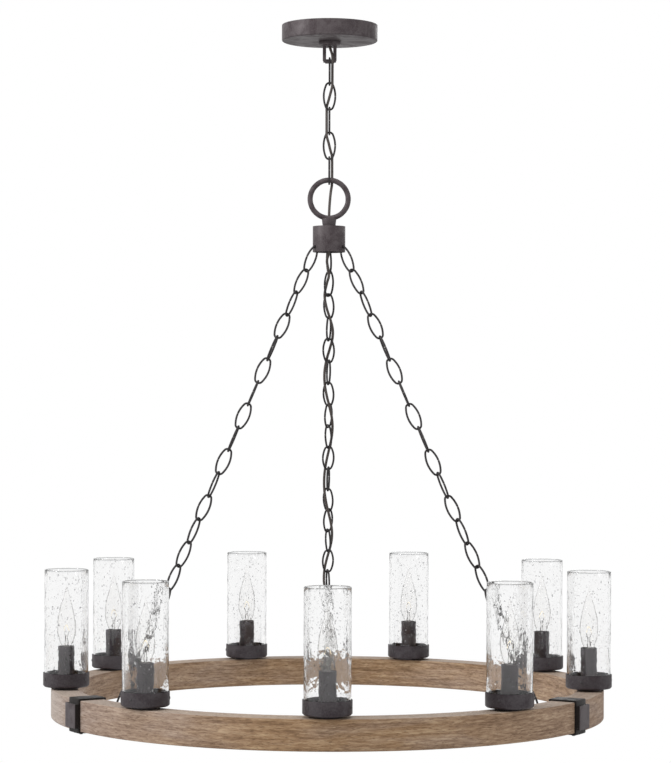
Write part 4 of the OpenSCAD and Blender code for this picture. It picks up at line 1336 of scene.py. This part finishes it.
def make_world():
    """White to the camera, in reflections and through glass; dimmer as a light on the object."""
    world = bpy.data.worlds.new("studio")
    bpy.context.scene.world = world
    world.use_nodes = True
    graph = Graph(world.node_tree)
    back = world.node_tree.nodes["Background"]
    camera_ray = graph.node("ShaderNodeLightPath", out="Is Camera Ray")
    rays, seen = camera_ray.socket.node.outputs, camera_ray
    for name in ("Is Glossy Ray", "Is Transmission Ray"):
        seen = seen.math("MAXIMUM", seen, Val(graph, rays[name]))
    back.inputs["Color"].default_value = (1, 1, 1, 1)
    world.node_tree.links.new(seen.between(0, 1, AMBIENT, 1.0).socket, back.inputs["Strength"])


def make_camera():
    camera = bpy.data.cameras.new("camera")
    camera.lens = FOCAL * SENSOR / PHOTO_HEIGHT
    camera.shift_x = (PHOTO_WIDTH / 2 - CENTRE_X) / PHOTO_HEIGHT
    camera.shift_y = (CENTRE_Y - PHOTO_HEIGHT / 2) / PHOTO_HEIGHT
    camera.clip_end = 60
    obj = add_object("camera", camera)
    obj.location = CAMERA_PLACE
    obj.rotation_euler = (Matrix.Rotation(CAMERA_ROLL, 3, "Y")
                          @ Matrix.Rotation(math.pi / 2, 3, "X")).to_euler()
    bpy.context.scene.camera = obj


def make_stage():
    bpy.context.scene.view_settings.view_transform = "Standard"
    make_world()
    for name, place, aim, power, size in STUDIO_LAMPS:
        light = bpy.data.lights.new(name, "AREA")
        light.energy, light.shape, light.size = power, "DISK", size
        obj = add_object(name, light)
        obj.location = place
        obj.rotation_euler = (Vector(aim) - Vector(place)).to_track_quat("-Z", "Y").to_euler()
    bm = bmesh.new()
    lathe(bm, [(0.0, FLOOR_TOP), (FLOOR_R, FLOOR_TOP), (FLOOR_R, FLOOR_FOOT), (0.0, FLOOR_FOOT)],
          96, (0, 0), False)
    from_bmesh("floor", bm, plain_look("pale_floor", srgb(246, 246, 245), 0.8, 0, 3, 0.01, 0.0))
    make_camera()


# ---- Operators and panel ----


class CHANDELIER_OT_stage(Operator):
    """Sets the camera, the lights, the white surroundings and the floor"""

    bl_idname = "chandelier.stage"
    bl_label = "Stage"

    def execute(self, context):
        make_stage()
        return {"FINISHED"}


class CHANDELIER_OT_cords(Operator):
    """Makes the supply cord through the upper chain and round the back chain"""

    bl_idname = "chandelier.cords"
    bl_label = "Cords"

    def execute(self, context):
        make_cords()
        return {"FINISHED"}


class CHANDELIER_OT_chains(Operator):
    """Makes the links of the upper chain and of the three chains of the wheel"""

    bl_idname = "chandelier.chains"
    bl_label = "Chains"

    def execute(self, context):
        make_chains()
        return {"FINISHED"}


class CHANDELIER_OT_canopy(Operator):
    """Makes the canopy with its ring nut, loop and crossbar"""

    bl_idname = "chandelier.canopy"
    bl_label = "Canopy"

    def execute(self, context):
        make_canopy()
        return {"FINISHED"}


class CHANDELIER_OT_hub(Operator):
    """Makes the hub and the cast ring above it"""

    bl_idname = "chandelier.hub"
    bl_label = "Hub"

    def execute(self, context):
        make_hub()
        return {"FINISHED"}


class CHANDELIER_OT_wheel(Operator):
    """Makes the wooden rails, their joints and the chain eyes"""

    bl_idname = "chandelier.wheel"
    bl_label = "Wheel"

    def execute(self, context):
        make_wheel()
        return {"FINISHED"}


class CHANDELIER_OT_cups(Operator):
    """Makes the lamp cups and candle sleeves"""

    bl_idname = "chandelier.cups"
    bl_label = "Cups and candles"

    def execute(self, context):
        make_cups()
        return {"FINISHED"}


class CHANDELIER_OT_screws(Operator):
    """Makes the slotted set screws round the cups"""

    bl_idname = "chandelier.screws"
    bl_label = "Screws"

    def execute(self, context):
        make_screws()
        return {"FINISHED"}


class CHANDELIER_OT_glass(Operator):
    """Makes the seeded glass cylinders"""

    bl_idname = "chandelier.glass"
    bl_label = "Glass cylinders"

    def execute(self, context):
        make_glass()
        return {"FINISHED"}


class CHANDELIER_OT_bulbs(Operator):
    """Makes the flame-tip bulbs with their bases and filaments"""

    bl_idname = "chandelier.bulbs"
    bl_label = "Bulbs"

    def execute(self, context):
        make_bulbs()
        return {"FINISHED"}


STEPS = (CHANDELIER_OT_stage, CHANDELIER_OT_cords, CHANDELIER_OT_chains, CHANDELIER_OT_canopy,
         CHANDELIER_OT_hub, CHANDELIER_OT_wheel, CHANDELIER_OT_cups, CHANDELIER_OT_screws,
         CHANDELIER_OT_glass, CHANDELIER_OT_bulbs)


class CHANDELIER_PT_panel(Panel):
    """Sizes, colours and pieces of the chandelier"""

    bl_idname = "CHANDELIER_PT_panel"
    bl_label = "Wagon wheel chandelier"
    bl_space_type = "VIEW_3D"
    bl_region_type = "UI"
    bl_category = "Chandelier"

    def draw(self, context):
        for name, group in SIZES.items():
            box = self.layout.box()
            box.label(text=group.__doc__)
            for key in group.__annotations__:
                box.prop(getattr(context.scene, name), key)
        for step in STEPS:
            self.layout.operator(step.bl_idname)


CLASSES = tuple(SIZES.values()) + STEPS + (CHANDELIER_PT_panel,)


def register():
    for cls in CLASSES:
        bpy.utils.register_class(cls)
    for name, group in SIZES.items():
        setattr(bpy.types.Scene, name, PointerProperty(type=group))


def unregister():
    for name in SIZES:
        delattr(bpy.types.Scene, name)
    for cls in reversed(CLASSES):
        bpy.utils.unregister_class(cls)


def main():
    register()
    for step in STEPS:
        group, name = step.bl_idname.split(".")
        getattr(getattr(bpy.ops, group), name)()


if __name__ == "__main__":
    main()
